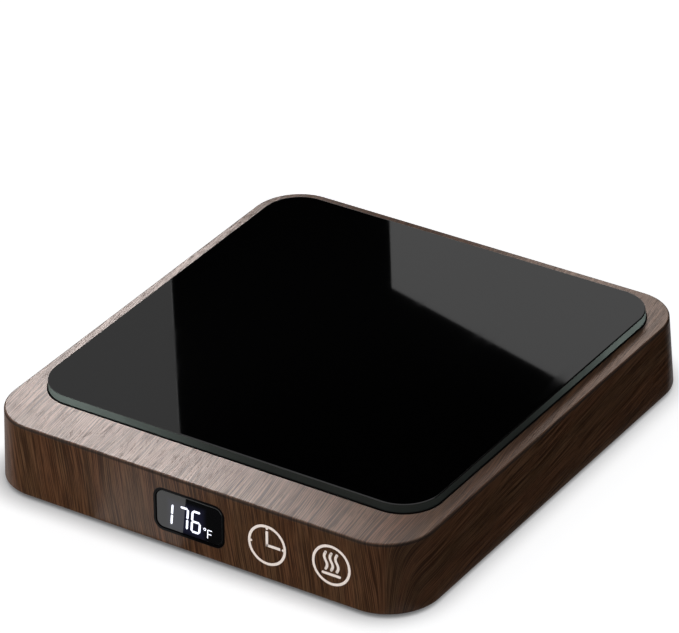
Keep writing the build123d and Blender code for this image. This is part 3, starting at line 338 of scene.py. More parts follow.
def flecked_body(n, given):
    """Felt and mica: flecks of a second colour in a mottled ground."""
    where, size = given["Vector"], given["Size"]
    cells = n.add("TexVoronoi", {"Vector": where, "Scale": size, "Randomness": 1.0})["Distance"]
    mottle = n.noise(where, size, 4.0, 0.62, 0.6)
    shade = n.times(n.remap(mottle, 0.35, 0.65), given["Amount"])
    uneven = n.vary(cells, -0.1, 0.1, 0.0, 1.0)
    return {"Color": n.mix(shade, given["Color"], given["Fleck"]),
            "Roughness": n.plus(given["Roughness"], uneven, clamp=True),
            "Height": n.plus(mottle, n.times(cells, 0.5))}


def handled_polish(n, given):
    """Polished surfaces: faint wiping marks that only change the roughness."""
    wiped = n.noise(n.stretch(given["Vector"], (60.0, 14.0, 40.0)), 1.0, 4.0, 0.6, 1.2)
    marks = n.remap(wiped, 0.45, 0.75, 0.0, 0.02)
    return {"Roughness": n.plus(given["Roughness"], marks, clamp=True)}


# --- finishes

def moulded(name, ground, roughness, grain, dust=0.12, depth=0.02):
    """Moulded plastic or rubber."""
    return Finish(name).wear(moulded_skin, depth, Color=ground, Grain=grain,
                             Roughness=roughness, Dust=dust)


def metal(name, ground, roughness, streaks, stain):
    """Bare or plated metal with its working marks."""
    return Finish(name, Metallic=1.0).wear(worked_metal, 0.004, Color=ground, Streaks=streaks,
                                           Roughness=roughness, Stain=stain)


def flecked(name, ground, fleck, size, amount, roughness, depth, sheen):
    """A mottled body with flecks."""
    return Finish(name, Sheen_Weight=sheen).wear(flecked_body, depth, Color=ground, Fleck=fleck,
                                                 Size=size, Amount=amount, Roughness=roughness)


def polished(name, ground, roughness, IOR=1.5):
    """A polished surface of one colour with wiping marks."""
    n = Finish(name, Base_Color=ground, IOR=IOR)
    n.feed(Roughness=n.effect(handled_polish, Roughness=roughness)["Roughness"])
    return n


def unrolled(n, value, turn, drop):
    """One plan coordinate, carried on down the wall. The film turns over between the two
    distances from the middle."""
    size = n.maths("ABSOLUTE", value)
    turned = n.times(n.remap(size, *turn), drop)
    return n.times(n.plus(size, turned), n.maths("SIGN", value))


def walnut_film(name, film):
    """Printed wood film: bands, streaks and pores that run from front to back and turn down the
    walls, under a satin coat that is duller in the pores."""
    n = Finish(name, IOR=1.38)
    x, y, z = n.split(n.where)
    drop = n.maths("SUBTRACT", HOUSING_HIGH.z, z)
    flat = n.add("CombineXYZ", {"X": unrolled(n, x, SIDE_TURN, drop),
                                "Y": unrolled(n, y, END_TURN, drop)})[0]
    laid = n.add("VectorRotate", {"Vector": flat, "Angle": -film.lay}, rotation_type="Z_AXIS")[0]
    sway = n.times(n.noise(n.stretch(laid, (34.0, 12.0, 1.0)), 1.0), 8 * MM)
    swayed = n.add("VectorMath", {0: laid, 1: n.add("CombineXYZ", {"X": sway})[0]},
                   operation="ADD")[0]

    def grain(across, along, detail, roughness=0.5):
        """Noise drawn out along the grain; both figures are per metre."""
        return n.noise(n.stretch(swayed, (across, along, 1.0)), 1.0, detail, roughness)
    bands = grain(1 / film.band, 11.0, 3.0, 0.6)
    streaks = grain(1 / film.streak, 36.0, 2.0)
    lines = grain(1 / film.line, 52.0, 2.0, 0.4)
    pores = n.remap(grain(0.8 / film.line, 180.0, 1.0), 0.56, 0.66)
    warmth = grain(150.0, 14.0, 2.0)
    tone = n.plus(n.times(bands, 0.15), n.plus(n.times(streaks, 0.15), n.times(lines, 0.70)))
    ground = n.mix(n.vary(tone, 0.0, 1.0, 0.455, 0.50), film.dark, film.middle)
    lit = n.mix(n.vary(tone, 0.0, 1.0, 0.50, 0.555), ground, film.light)
    hue = n.mix(n.remap(warmth, 0.35, 0.65), (1.05, 0.96, 0.93), (0.96, 1.00, 1.00))
    printed = n.mix(n.times(pores, 0.60), n.mix(1.0, lit, hue, "MULTIPLY"), film.dark)
    # painted shade: a dark line on the deck's rounded rim, just under the deck, which fades in
    # and out again down the wall; the coat is duller there too
    fold = n.times(n.remap(drop, 0.08 * MM, 0.22 * MM),
                   n.remap(drop, 0.6 * MM, 1.0 * MM, 1.0, 0.0))
    dull = n.plus(n.maths("MULTIPLY_ADD", pores, 0.08, film.roughness),
                  n.vary(tone, 0.03, -0.03, 0.42, 0.60))
    n.feed(Base_Color=n.mix(n.times(fold, 0.75), printed, film.fold),
           Roughness=n.maths("MULTIPLY_ADD", fold, 0.5, dull, clamp=True))
    n.bump(n.maths("SUBTRACT", lines, n.times(pores, 0.4)), 0.014)
    return n


def ground_edge(name, glass):
    """The plate's ground and fire-polished edge: a sea-green satin band."""
    n = Finish(name, IOR=1.36)
    lines = n.noise(n.stretch(n.where, (50.0, 50.0, 2600.0)), 1.0, 3.0)
    haze = n.vary(n.noise(n.where, 160.0, 3.0), 0.0, 0.45)
    n.feed(Base_Color=n.mix(haze, glass.edge, glass.edge * 0.55),
           Roughness=n.vary(lines, 0.46, 0.60))
    n.bump(lines, 0.006)
    return n


def display_window(name, display):
    """Smoked, polished window; the lit digits leave a soft glow in it."""
    n = Finish(name, IOR=1.58, Base_Color=(0.004, 0.004, 0.0045), Emission_Strength=0.045)
    x, _, z = n.split(n.where)
    # how far a point lies outside the lit reading: its middle and half its size, in millimetres
    reach = [n.maths("SUBTRACT", n.maths("ABSOLUTE", n.maths("SUBTRACT", place, middle * MM)),
                     half * MM) for place, middle, half in ((x, -0.9, 4.1), (z, 10.2, 2.9))]
    away = n.maths("MAXIMUM", n.maths("MAXIMUM", *reach), 0.0)
    glow = n.remap(away, 0.0, 2.4 * MM, 1.0, 0.0)
    n.feed(Emission_Color=n.mix(glow, (0.0, 0.0, 0.0), display.halo),
           Roughness=n.effect(handled_polish, Roughness=0.03)["Roughness"])
    return n


def lit_segments(name, display):
    """Segments that give light, a little uneven."""
    n = Finish(name, Roughness=0.4, Base_Color=(0.6, 0.62, 0.7), Emission_Strength=1.15)
    level = n.vary(n.noise(n.where, 700.0, 1.0), 0.0, 0.18)
    n.feed(Emission_Color=n.mix(level, display.lit, display.halo))
    return n


def printed_ink(name, keys):
    """Pad-printed ink, slightly thin in places."""
    n = Finish(name)
    thin = n.noise(n.where, 1500.0, 3.0, 0.6)
    n.feed(Base_Color=n.mix(n.vary(thin, 0.0, 0.30, 0.45, 0.75), keys.ink, keys.ink * 0.62),
           Roughness=n.vary(thin, 0.50, 0.62))
    n.bump(thin, 0.006)
    return n


def banded(name, ground, bands, roughness, depth=0.01, IOR=1.5):
    """A moulded body with bands of other colours along Y: each has its low and high end in
    millimetres, its colour, and whether it is metal."""
    n = Finish(name, IOR=IOR)
    results = n.effect(moulded_skin, Color=ground, Grain=1800.0, Roughness=roughness, Dust=0.05)
    shade, shiny = results["Color"], None
    place = n.split(n.where)[1]
    for low, high, tone, is_metal in bands:
        inside = n.times(n.maths("GREATER_THAN", place, low * MM),
                         n.maths("LESS_THAN", place, high * MM))
        shade = n.mix(inside, shade, tone)
        if is_metal:
            shiny = inside if shiny is None else n.maths("MAXIMUM", shiny, inside)
    n.feed(Base_Color=shade, Roughness=results["Roughness"])
    if shiny is not None:
        n.feed(Metallic=shiny)
    n.bump(results["Height"], depth)
    return n


def circuit_board(name, mask):
    """Green solder mask over copper tracks, with tinned pads."""
    n = Finish(name, IOR=1.5)
    x, y, z = n.split(n.where)
    plan = n.add("CombineXYZ", {"X": x, "Y": n.plus(y, z)})[0]
    tracks = n.add("TexBrick", {"Vector": plan, "Scale": 1.0, "Mortar Size": 0.35 * MM,
                                "Mortar Smooth": 0.2, "Brick Width": 11 * MM,
                                "Row Height": 2.2 * MM},
                   offset=0.37, offset_frequency=2, squash=0.6, squash_frequency=3)["Fac"]
    pads = n.add("TexVoronoi", {"Vector": plan, "Scale": 320.0, "Randomness": 0.25})["Distance"]
    tinned = n.remap(pads, 0.16, 0.19, 1.0, 0.0)
    n.feed(Base_Color=n.mix(tinned, n.mix(tracks, mask, (0.028, 0.17, 0.062)),
                            (0.62, 0.61, 0.58)),
           Metallic=tinned, Roughness=n.vary(n.noise(n.where, 400.0), 0.28, 0.40))
    n.bump(n.plus(tracks, tinned), 0.03)
    return n


def two_tone_leads(name, left, right, split_at, roughness=0.45, braid=False):
    """Insulated leads whose colour changes from one lead to the next along X."""
    n = Finish(name)
    side = n.maths("GREATER_THAN", n.split(n.where)[0], split_at * MM)
    ground = n.mix(side, left, right)
    skin = n.noise(n.where, 1500.0, 3.0)
    if braid:
        weave = n.add("TexWave", {"Vector": n.where, "Scale": 420.0, "Distortion": 1.5,
                                  "Detail": 1.0},
                      wave_type="BANDS", bands_direction="DIAGONAL")["Fac"]
        skin = n.plus(skin, weave)
        ground = n.mix(n.times(weave, 0.25), ground, (0.45, 0.42, 0.36))
    n.feed(Base_Color=ground, Roughness=n.vary(n.noise(n.where, 300.0), roughness - 0.08,
                                               roughness + 0.08))
    n.bump(skin, 0.05 if braid else 0.01)
    return n


def ribbed_ribbon(name, grey):
    """Flat grey cable: one line per core, the first marked in red."""
    n = Finish(name)
    x = n.split(n.where)[0]
    cores = n.maths("SINE", n.times(x, 2 * pi / MM))
    first = n.maths("LESS_THAN", x, 6.9 * MM)
    shade = n.mix(n.remap(cores, -1.0, -0.6), (0.30, 0.30, 0.32), grey)
    n.feed(Base_Color=n.mix(first, shade, (0.50, 0.04, 0.03)),
           Roughness=n.vary(n.noise(n.where, 900.0), 0.40, 0.52))
    n.bump(cores, 0.08)
    return n


BRASS, TIN, PLATED = (0.55, 0.40, 0.22), (0.75, 0.75, 0.76), (0.72, 0.70, 0.66)

# Each finish: its maker, its ground colour or the settings that it reads, and what else it takes
FINISHES = {
    "walnut_film": (walnut_film, "film"),
    "moulding_core": (moulded, "film.core", 0.55, 2200.0),
    "black_plastic": (moulded, (0.018, 0.018, 0.019), 0.52, 1500.0, 0.10, 0.05),
    "black_rubber": (moulded, (0.013, 0.013, 0.014), 0.72, 1100.0, 0.25, 0.04),
    "seal_rubber": (polished, (0.0015, 0.0015, 0.0016), 0.6, 1.15),
    "zinc_steel": (metal, (0.60, 0.61, 0.63), 0.30, (300.0, 300.0, 2600.0), 0.4),
    "black_glass": (polished, "glass.face", 0.02),
    "black_glass_edge": (ground_edge, "glass"),
    "aluminium": (metal, (0.80, 0.80, 0.81), 0.36, (1500.0, 25.0, 1500.0), 0.2),
    "mica": (flecked, (0.46, 0.38, 0.24), (0.70, 0.62, 0.44), 260.0, 0.8, 0.45, 0.05, 0.2),
    "resistive_foil": (metal, (0.50, 0.44, 0.37), 0.40, (60.0, 1400.0, 60.0), 0.7),
    "fibre_felt": (flecked, (0.74, 0.72, 0.66), (0.50, 0.47, 0.40), 1300.0, 0.5, 0.95, 0.25,
                   0.4),
    "plated_steel": (metal, (0.58, 0.58, 0.57), 0.38, (30.0, 1100.0, 30.0), 0.6),
    "spring_steel": (metal, (0.66, 0.65, 0.62), 0.24, (1600.0, 60.0, 60.0), 0.3),
    "fuse_case": (banded, (0.63, 0.60, 0.52), ((-20.0, -17.2, BRASS, True),
                                               (-17.2, -8.0, (0.66, 0.64, 0.58), True)), 0.3),
    "circuit_board": (circuit_board, (0.016, 0.105, 0.040)),
    "ferrite": (banded, (0.045, 0.045, 0.050), ((-53.0, -46.2, (0.62, 0.42, 0.05), False),),
                0.5, 0.03),
    "capacitor_box": (moulded, (0.62, 0.40, 0.04), 0.34, 900.0, 0.05),
    "capacitor_can": (banded, (0.018, 0.026, 0.075), ((-47.1, -46.0, TIN, True),
                                                      (-54.6, -53.9, (0.02, 0.02, 0.02), False)),
                      0.28),
    "black_resin": (moulded, (0.016, 0.016, 0.017), 0.48, 1700.0, 0.08),
    "fuse_glass": (banded, (0.60, 0.63, 0.60), ((-49.2, -46.4, PLATED, True),
                                                (-40.8, -38.0, PLATED, True)), 0.12),
    "white_nylon": (moulded, (0.74, 0.72, 0.66), 0.42, 1500.0, 0.10),
    "supply_insulation": (two_tone_leads, (0.12, 0.04, 0.015), (0.02, 0.06, 0.30), -44.0),
    "heater_insulation": (two_tone_leads, (0.76, 0.73, 0.66), (0.72, 0.70, 0.62), 40.0, 0.7,
                          True),
    "sensor_insulation": (two_tone_leads, (0.02, 0.02, 0.02), (0.05, 0.05, 0.05), -13.0),
    "gloss_black": (polished, (0.0015, 0.0015, 0.0018), 0.32, 1.17),
    # painted highlight: the lens's polished rim chamfer is painted a lighter grey than the lens
    "lens_rim_highlight": (polished, (0.024, 0.026, 0.026), 0.25),
    "smoked_lens": (display_window, "display"),
    "digit_block": (moulded, (0.05, 0.05, 0.055), 0.40, 1500.0, 0.05),
    "lit_segments": (lit_segments, "display"),
    "printed_ink": (printed_ink, "keys"),
    "ribbon": (ribbed_ribbon, (0.60, 0.60, 0.62)),
}


def finish_named(slot):
    """The material of one finish, made once. The CAD's own material of that name makes way."""
    made = bpy.data.materials.get(slot)
    if made and made.get("finish"):
        return made
    if made:
        made.name = "plain_" + slot
    maker, ground, *rest = FINISHES[slot]
    if isinstance(ground, str):
        ground = bpy.context.scene.mug_warmer.path_resolve(ground)
    made = maker(slot, ground, *rest).material
    made["finish"] = True
    return made


# --- mesh helpers

def link_new(name, data):
    """A new object in the scene."""
    made = bpy.data.objects.new(name, data)
    bpy.context.scene.collection.objects.link(made)
    return made


def new_object(name, bm):
    """A new object of a bmesh."""
    mesh = bpy.data.meshes.new(name)
    bm.to_mesh(mesh)
    bm.free()
    return link_new(name, mesh)


def finish_piece(name, bm, finishes, replaced=(), limit=SMOOTH_LIMIT, weighted=True):
    """Turns a bmesh into a smooth-shaded piece with its materials that rides on the body."""
    for face in bm.faces:
        face.smooth = True
    for edge in bm.edges:
        edge.smooth = not (len(edge.link_faces) == 2 and edge.calc_face_angle(0.0) > limit)
    piece = new_object(name, bm)
    for each in finishes:
        piece.data.materials.append(finish_named(each))
    if weighted:
        shading = piece.modifiers.new("Face weighted normals", "WEIGHTED_NORMAL")
        shading.keep_sharp = True
        shading.weight = 80
    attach(piece, BODY)
    if replaced:
        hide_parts(*replaced)


def merged_copy(node):
    """A bmesh of a CAD node with its loose triangles joined."""
    bm = bmesh.new()
    bm.from_mesh(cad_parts[node].data)
    bmesh.ops.remove_doubles(bm, verts=bm.verts, dist=WELD)
    return bm


def cover(node, name, slot):
    """A piece that is a copy of one CAD node, in the finish of its slot."""
    finish_piece(name, merged_copy(node), [slot], replaced=[node])


def dress(*nodes):
    """Gives each CAD node the material of its own slot."""
    for name in nodes:
        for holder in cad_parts[name].material_slots:
            slot = holder.material.name.split(".")[0].removeprefix("plain_")
            holder.material = finish_named(slot)


def parts_of(grown, kind):
    """The parts of one kind in an operator's result."""
    return [part for part in grown["geom"] if isinstance(part, kind)]


def thicken(bm, flat_faces, thickness):
    """Gives flat faces in the local XY plane a thickness towards +Z."""
    grown = bmesh.ops.extrude_face_region(bm, geom=flat_faces)
    bmesh.ops.translate(bm, vec=(0, 0, thickness), verts=parts_of(grown, bmesh.types.BMVert))


def rounded_plate(width, depth, low, high, corner, segments=20):
    """A flat block with rounded corners, centred on the origin in plan."""
    bm = bmesh.new()
    bmesh.ops.create_grid(bm, x_segments=1, y_segments=1, size=0.5)
    bmesh.ops.scale(bm, vec=(width, depth, 1), verts=bm.verts)
    bmesh.ops.bevel(bm, geom=bm.verts[:], offset=corner, offset_type="OFFSET", segments=segments,
                    profile=0.5, affect="VERTICES", material=-1, clamp_overlap=True)
    bmesh.ops.translate(bm, vec=(0, 0, low), verts=bm.verts)
    thicken(bm, bm.faces[:], high - low)
    bmesh.ops.recalc_face_normals(bm, faces=bm.faces)
    return bm


def edges_at(bm, height):
    """The edges that lie at one height."""
    return [edge for edge in bm.edges
            if all(abs(vert.co.z - height) < WELD for vert in edge.verts)]


def round_edges(bm, chosen, radius, segments):
    """Rounds the chosen edges."""
    bmesh.ops.bevel(bm, geom=chosen, offset=radius, offset_type="OFFSET", segments=segments,
                    profile=0.5, affect="EDGES", material=-1, clamp_overlap=True)


def merge_into(bm, part):
    """Adds one bmesh to another."""
    scratch = bpy.data.meshes.new("scratch")
    part.to_mesh(scratch)
    part.free()
    bm.from_mesh(scratch)
    bpy.data.meshes.remove(scratch)


def add_disc(bm, centre, radius, steps=20):
    """A flat disc."""
    spot = bmesh.ops.create_circle(bm, cap_ends=True, radius=radius, segments=steps,
                                   matrix=Matrix.Translation((*centre, 0)))
    return list({face for vert in spot["verts"] for face in vert.link_faces})


def add_bar(bm, start, end, width, thickness, point=0.0):
    """A flat bar between two points; point > 0 cuts its corners off, 0 rounds its ends."""
    start, end = Vector(start), Vector(end)
    run = end - start
    part = rounded_plate(run.length, width, 0, thickness, point or width * ROUND_END,
                         1 if point else 6)
    angle = run.to_2d().angle_signed(Vector((1, 0)), 0.0)
    bmesh.ops.transform(part, verts=part.verts, matrix=Matrix.Rotation(angle, 4, "Z"))
    bmesh.ops.translate(part, verts=part.verts, vec=(*((start + end) / 2), 0))
    merge_into(bm, part)


def add_wave(bm, centre, height, swing, width, steps=24):
    """A rising S-shaped line with round ends, made by extruding its first edge."""
    def spot(share):
        """Middle of the line and its two sides, at a share of the height."""
        angle = 2 * pi * share
        along = Vector((swing * 2 * pi * cos(angle) / height, 1)).normalized()
        middle = Vector((centre[0] + swing * sin(angle), centre[1] + height * (share - 0.5)))
        side = Vector((-along.y, along.x)) * width / 2
        return middle, ((*(middle + side), 0), (*(middle - side), 0))
    pair = [bm.verts.new(place) for place in spot(0)[1]]
    edge = bm.edges.new(pair)
    faces = []
    for step in range(1, steps + 1):
        grown = bmesh.ops.extrude_edge_only(bm, edges=[edge])
        faces += parts_of(grown, bmesh.types.BMFace)
        edge = parts_of(grown, bmesh.types.BMEdge)[0]
        verts = sorted(parts_of(grown, bmesh.types.BMVert),
                       key=lambda vert: (vert.co - pair[0].co).length)
        for vert, place in zip(verts, spot(step / steps)[1]):
            vert.co = place
        pair = verts
    for share in (0, 1):
        faces += add_disc(bm, spot(share)[0], width * ROUND_END, 14)
    return faces


def add_ring(bm, centre, outer, stroke, thickness, steps=96):
    """A flat ring of rectangular section, spun round its middle."""
    inner = outer - stroke
    corners = ((inner, 0), (outer, 0), (outer, thickness), (inner, thickness))
    verts = [bm.verts.new((centre[0] + r, centre[1], h)) for r, h in corners]
    edges = [bm.edges.new(pair) for pair in zip(verts, verts[1:] + verts[:1])]
    bmesh.ops.spin(bm, geom=verts + edges, cent=(*centre, 0), axis=(0, 0, 1), angle=2 * pi,
                   steps=steps, use_merge=True, use_duplicate=False)


def on_face(bm, lift):
    """Moves a flat drawing onto the front wall, lifted off it by a little."""
    bmesh.ops.recalc_face_normals(bm, faces=bm.faces)
    bmesh.ops.transform(bm, matrix=FACE @ Matrix.Translation((0, 0, lift)), verts=bm.verts)


# --- the pieces

class MUGWARMER_OT_housing(Operator):
    """Covers the moulded housing with its wood film and leaves the inside bare"""
    bl_idname = "mugwarmer.housing"
    bl_label = "Housing"

    def execute(self, context):
        bm = merged_copy("top_housing")
        for face in bm.faces:
            spot = face.calc_center_median()
            drawn_in = (spot.z - HOUSING_LOW.z) * tan(WALL_LEAN)
            corner = HOUSING_CORNER - drawn_in
            past = Vector((abs(spot.x) - (HOUSING_HIGH.x - drawn_in - corner),
                           abs(spot.y) - (HOUSING_HIGH.y - drawn_in - corner)))
            outside = Vector((max(past.x, 0), max(past.y, 0))).length + min(max(past), 0) - corner
            on_wall = outside > -FILM_EDGE and abs(face.normal.z) < 0.98
            on_deck = spot.z > HOUSING_HIGH.z - DECK_DEPTH and face.normal.z > 0.02
            face.material_index = 0 if on_wall or on_deck else 1
        finish_piece("housing_shell", bm, ["walnut_film", "moulding_core"],
                     replaced=["top_housing"])
        return {"FINISHED"}


class MUGWARMER_OT_glass_plate(Operator):
    """Makes the black glass plate with its ground edge, and dresses the seal under it"""
    bl_idname = "mugwarmer.glass_plate"
    bl_label = "Glass plate"

    def execute(self, context):
        glass = context.scene.mug_warmer.glass
        size, middle = GLASS_HIGH - GLASS_LOW, (GLASS_HIGH + GLASS_LOW) / 2
        bm = rounded_plate(size.x, size.y, GLASS_LOW.z, GLASS_HIGH.z, glass.corner)
        bmesh.ops.translate(bm, vec=(middle.x, middle.y, 0), verts=bm.verts)
        round_edges(bm, edges_at(bm, GLASS_HIGH.z), glass.edge_round, 3)
        round_edges(bm, edges_at(bm, GLASS_LOW.z), 0.12 * MM, 1)
        for face in bm.faces:
            face.material_index = 0 if abs(face.normal.z) > 0.25 else 1
        finish_piece("glass_top", bm, ["black_glass", "black_glass_edge"],
                     replaced=["glass_plate"])
        self.make_seal(glass, size, middle)
        return {"FINISHED"}

    def make_seal(self, glass, size, middle):
        """The gasket under the plate, with a bead that fills the gap round its edge."""
        bm = merged_copy("plate_gasket")
        reach = 2 * (glass.seal_width + 0.02 * MM)
        crest = HOUSING_HIGH.z + glass.seal_proud
        bead = rounded_plate(size.x + reach, size.y + reach, GLASS_LOW.z - 0.5 * MM, crest,
                             glass.corner + reach / 2)
        caps = [face for face in bead.faces if abs(face.normal.z) > 0.99]
        bmesh.ops.inset_region(bead, faces=caps, thickness=glass.seal_width, use_even_offset=True)
        rims = [edge for face in caps for edge in face.edges]
        bmesh.ops.delete(bead, geom=caps, context="FACES_ONLY")
        bmesh.ops.bridge_loops(bead, edges=rims)
        bmesh.ops.recalc_face_normals(bead, faces=bead.faces)
        round_edges(bead, [edge for edge in edges_at(bead, crest)
                           if any(abs(face.normal.z) < 0.5 for face in edge.link_faces)],
                    0.1 * MM, 2)
        bmesh.ops.translate(bead, vec=(middle.x, middle.y, 0), verts=bead.verts)
        merge_into(bm, bead)
        finish_piece("plate_seal", bm, ["seal_rubber"],
                     replaced=["plate_gasket"])


# Segments of a digit as (start, end) on a grid one wide and two high
SEGMENTS = {
    "a": ((0, 2), (1, 2)), "b": ((1, 2), (1, 1)), "c": ((1, 1), (1, 0)), "d": ((0, 0), (1, 0)),
    "e": ((0, 1), (0, 0)), "f": ((0, 2), (0, 1)), "g": ((0, 1), (1, 1)),
}
LIT_SEGMENTS = {
    "0": "abcdef", "1": "bc", "2": "abged", "3": "abgcd", "4": "fgbc", "5": "afgcd",
    "6": "afgedc", "7": "abc", "8": "abcdefg", "9": "abcdfg",
}
# Places on the front wall, in millimetres from its middle
DIGIT_LEFTS = (-8.25, -3.55, 0.25)
DIGIT_FOOT = -4.05
SEGMENT_GAP = 0.10
DEGREE_SPOT, DEGREE_RADIUS, DEGREE_STROKE = (4.70, -1.85), 0.42, 0.20
UNIT_STROKE = 0.26
UNIT_BARS = (((5.50, -4.20), (5.62, -1.80)), ((5.62, -1.80), (6.85, -1.80)),
             ((5.56, -2.95), (6.70, -2.95)))


class MUGWARMER_OT_display(Operator):
    """Makes the window's frame and lens, and the lit digits and unit sign in it"""
    bl_idname = "mugwarmer.display"
    bl_label = "Display"

    def execute(self, context):
        display = context.scene.mug_warmer.display
        unknown = set(display.reading) - set(LIT_SEGMENTS)
        if unknown:
            raise ValueError(f"the display can't show {sorted(unknown)}")
        cover("display_bezel", "window_frame", "gloss_black")
        lens = merged_copy("display_lens")
        # the rim's chamfer is real; its lighter grey is a painted highlight line round the lens
        for face in lens.faces:
            face.material_index = 1 if 0.5 < face.normal.dot(FACE_OUT) < 0.9 else 0
        finish_piece("window_lens", lens, ["smoked_lens", "lens_rim_highlight"],
                     replaced=["display_lens"], limit=LENS_SMOOTH_LIMIT)
        dress("digit_display")
        bm = bmesh.new()
        thickness = 0.04 * MM
        self.add_digits(bm, display, thickness)
        add_ring(bm, Vector(DEGREE_SPOT) * MM, DEGREE_RADIUS * MM, DEGREE_STROKE * MM, thickness,
                 32)
        for start, end in UNIT_BARS:
            add_bar(bm, Vector(start) * MM, Vector(end) * MM, UNIT_STROKE * MM, thickness,
                    0.02 * MM)
        on_face(bm, -0.15 * MM - thickness / 2)
        finish_piece("lit_reading", bm, ["lit_segments"], weighted=False)
        return {"FINISHED"}

    def add_digits(self, bm, display, thickness):
        """The last three digits of the reading, slanted."""
        half, low = display.stroke / 2, DIGIT_FOOT * MM
        rows = (low + half, low + display.height / 2, low + display.height - half)
        wide = display.digit_width - display.stroke
        for left, digit in zip(DIGIT_LEFTS, display.reading.rjust(3)[-3:]):
            for segment in LIT_SEGMENTS.get(digit, ""):
                start, end = (Vector((left * MM + half + column * wide, rows[row]))
                              for column, row in SEGMENTS[segment])
                gap = (end - start).normalized() * SEGMENT_GAP * MM
                add_bar(bm, start + gap, end - gap, display.stroke, thickness,
                        display.stroke * 0.42)
        for vert in bm.verts:
            vert.co.x += (vert.co.y - low) * tan(display.slant)


# The marks, in millimetres: the middle of each ring on the front wall, and from there the tips
# of the clock's hands, its hour dots, the heat lines and the two ends of the bar under them
CLOCK_SPOT, HEAT_SPOT = Vector((23.6, -0.15)), Vector((42.7, 0.40))
HANDS = ((0, 4.05), (3.95, 0))
HOUR_DOTS, DOT_RADIUS = ((0, 4.78), (-4.78, 0), (4.78, 0)), 0.36
HEAT_LINES = ((-1.65, 0.95), (0.0, 0.95), (1.65, 0.95))
HEAT_HEIGHT, HEAT_SWING = 4.7, 0.42
HEAT_BAR = (Vector((-2.85, -2.65)), Vector((2.85, -2.65)))
INK_THICKNESS = 0.05 * MM
INK_SUNK = 0.015 * MM


class MUGWARMER_OT_touch_keys(Operator):
    """Prints the clock and the heat mark over the two touch keys"""
    bl_idname = "mugwarmer.touch_keys"
    bl_label = "Touch key marks"

    def execute(self, context):
        keys = context.scene.mug_warmer.keys
        for name, spot, draw in (("clock_mark", CLOCK_SPOT, self.draw_clock),
                                 ("heat_mark", HEAT_SPOT, self.draw_heat)):
            bm = bmesh.new()
            add_ring(bm, spot * MM, keys.ring, keys.ring_stroke, INK_THICKNESS)
            draw(bm, spot, keys.stroke)
            on_face(bm, -INK_SUNK)
            finish_piece(name, bm, ["printed_ink"], weighted=False)
        return {"FINISHED"}

    def draw_clock(self, bm, centre, stroke):
        """Two hands and three hour dots."""
        for tip in map(Vector, HANDS):
            add_bar(bm, centre * MM - tip.normalized() * stroke / 2, (centre + tip) * MM, stroke,
                    INK_THICKNESS, 0.06 * MM)
        for dot in map(Vector, HOUR_DOTS):
            thicken(bm, add_disc(bm, (centre + dot) * MM, DOT_RADIUS * MM), INK_THICKNESS)

    def draw_heat(self, bm, centre, stroke):
        """Three rising waves over a bar."""
        for foot in map(Vector, HEAT_LINES):
            thicken(bm, add_wave(bm, (centre + foot) * MM, HEAT_HEIGHT * MM, HEAT_SWING * MM,
                                 stroke), INK_THICKNESS)
        add_bar(bm, (centre + HEAT_BAR[0]) * MM, (centre + HEAT_BAR[1]) * MM, stroke,
                INK_THICKNESS)


class MUGWARMER_OT_base(Operator):
    """Dresses the base cover with its feet and screws"""
    bl_idname = "mugwarmer.base"
    bl_label = "Base, feet and screws"

    def execute(self, context):
        cover("base_cover", "base_panel", "black_plastic")
        cover("rubber_feet", "feet", "black_rubber")
        cover("base_screws", "case_screws", "zinc_steel")
        return {"FINISHED"}


class MUGWARMER_OT_cord_gland(Operator):
    """Dresses the rubber bush in the back wall"""
    bl_idname = "mugwarmer.cord_gland"
    bl_label = "Cord gland"

    def execute(self, context):
        cover("cord_grommet", "cord_gland", "black_rubber")
        return {"FINISHED"}


class MUGWARMER_OT_heater(Operator):
    """Dresses the heater stack under the plate and what controls it"""
    bl_idname = "mugwarmer.heater"
    bl_label = "Heater"

    def execute(self, context):
        dress("heat_spreader", "upper_mica_sheet", "heater_track", "lower_mica_sheet",
              "insulation_felt", "heater_bracket", "bracket_screws", "temperature_sensor",
              "sensor_clip", "thermal_fuse", "fuse_clip")
        return {"FINISHED"}


class MUGWARMER_OT_electronics(Operator):
    """Dresses the two boards, their parts and their screws"""
    bl_idname = "mugwarmer.electronics"
    bl_label = "Boards and their parts"

    def execute(self, context):
        dress("main_board", "main_board_screws", "power_transformer", "filter_capacitor",
              "storage_capacitor", "heater_switch", "buzzer", "board_fuse", "control_chip",
              "supply_connector", "heater_connector", "sensor_connector", "display_board",
              "display_board_screws", "timer_touch_spring", "heat_touch_spring",
              "ribbon_sockets")
        return {"FINISHED"}


class MUGWARMER_OT_wiring(Operator):
    """Dresses the terminal block, the leads and the ribbon"""
    bl_idname = "mugwarmer.wiring"
    bl_label = "Wiring"

    def execute(self, context):
        dress("terminal_block", "terminal_screws", "supply_leads", "sensor_leads",
              "heater_leads", "display_ribbon")
        return {"FINISHED"}


# --- the stage

# The camera's place and turns. What is mirrored in the glass and the film stands by the same
# plan axes: away from the camera, and sideways to the right of its view
CAMERA_PLACE = Vector((0.61718, -0.89112, 0.68355))
AZIMUTH, ELEVATION, ROLL = radians(34.696), radians(30.936), radians(-2.196)
SIDEWAYS = Vector((cos(AZIMUTH), sin(AZIMUTH), 0))
AWAY = Vector((-sin(AZIMUTH), cos(AZIMUTH), 0))


def seen_at(away, sideways, height):
    """A point by its distance away and sideways in the view, and its height."""
    return AWAY * away + SIDEWAYS * sideways + Vector((0, 0, height))


def stage_sheet(name, bm):
    """A plain sheet with a material of its own, and that material's nodes."""
    sheet = new_object(name, bm)
    made = bpy.data.materials.new(name)
    sheet.data.materials.append(made)
    return sheet, NodeSet(emptied(made))


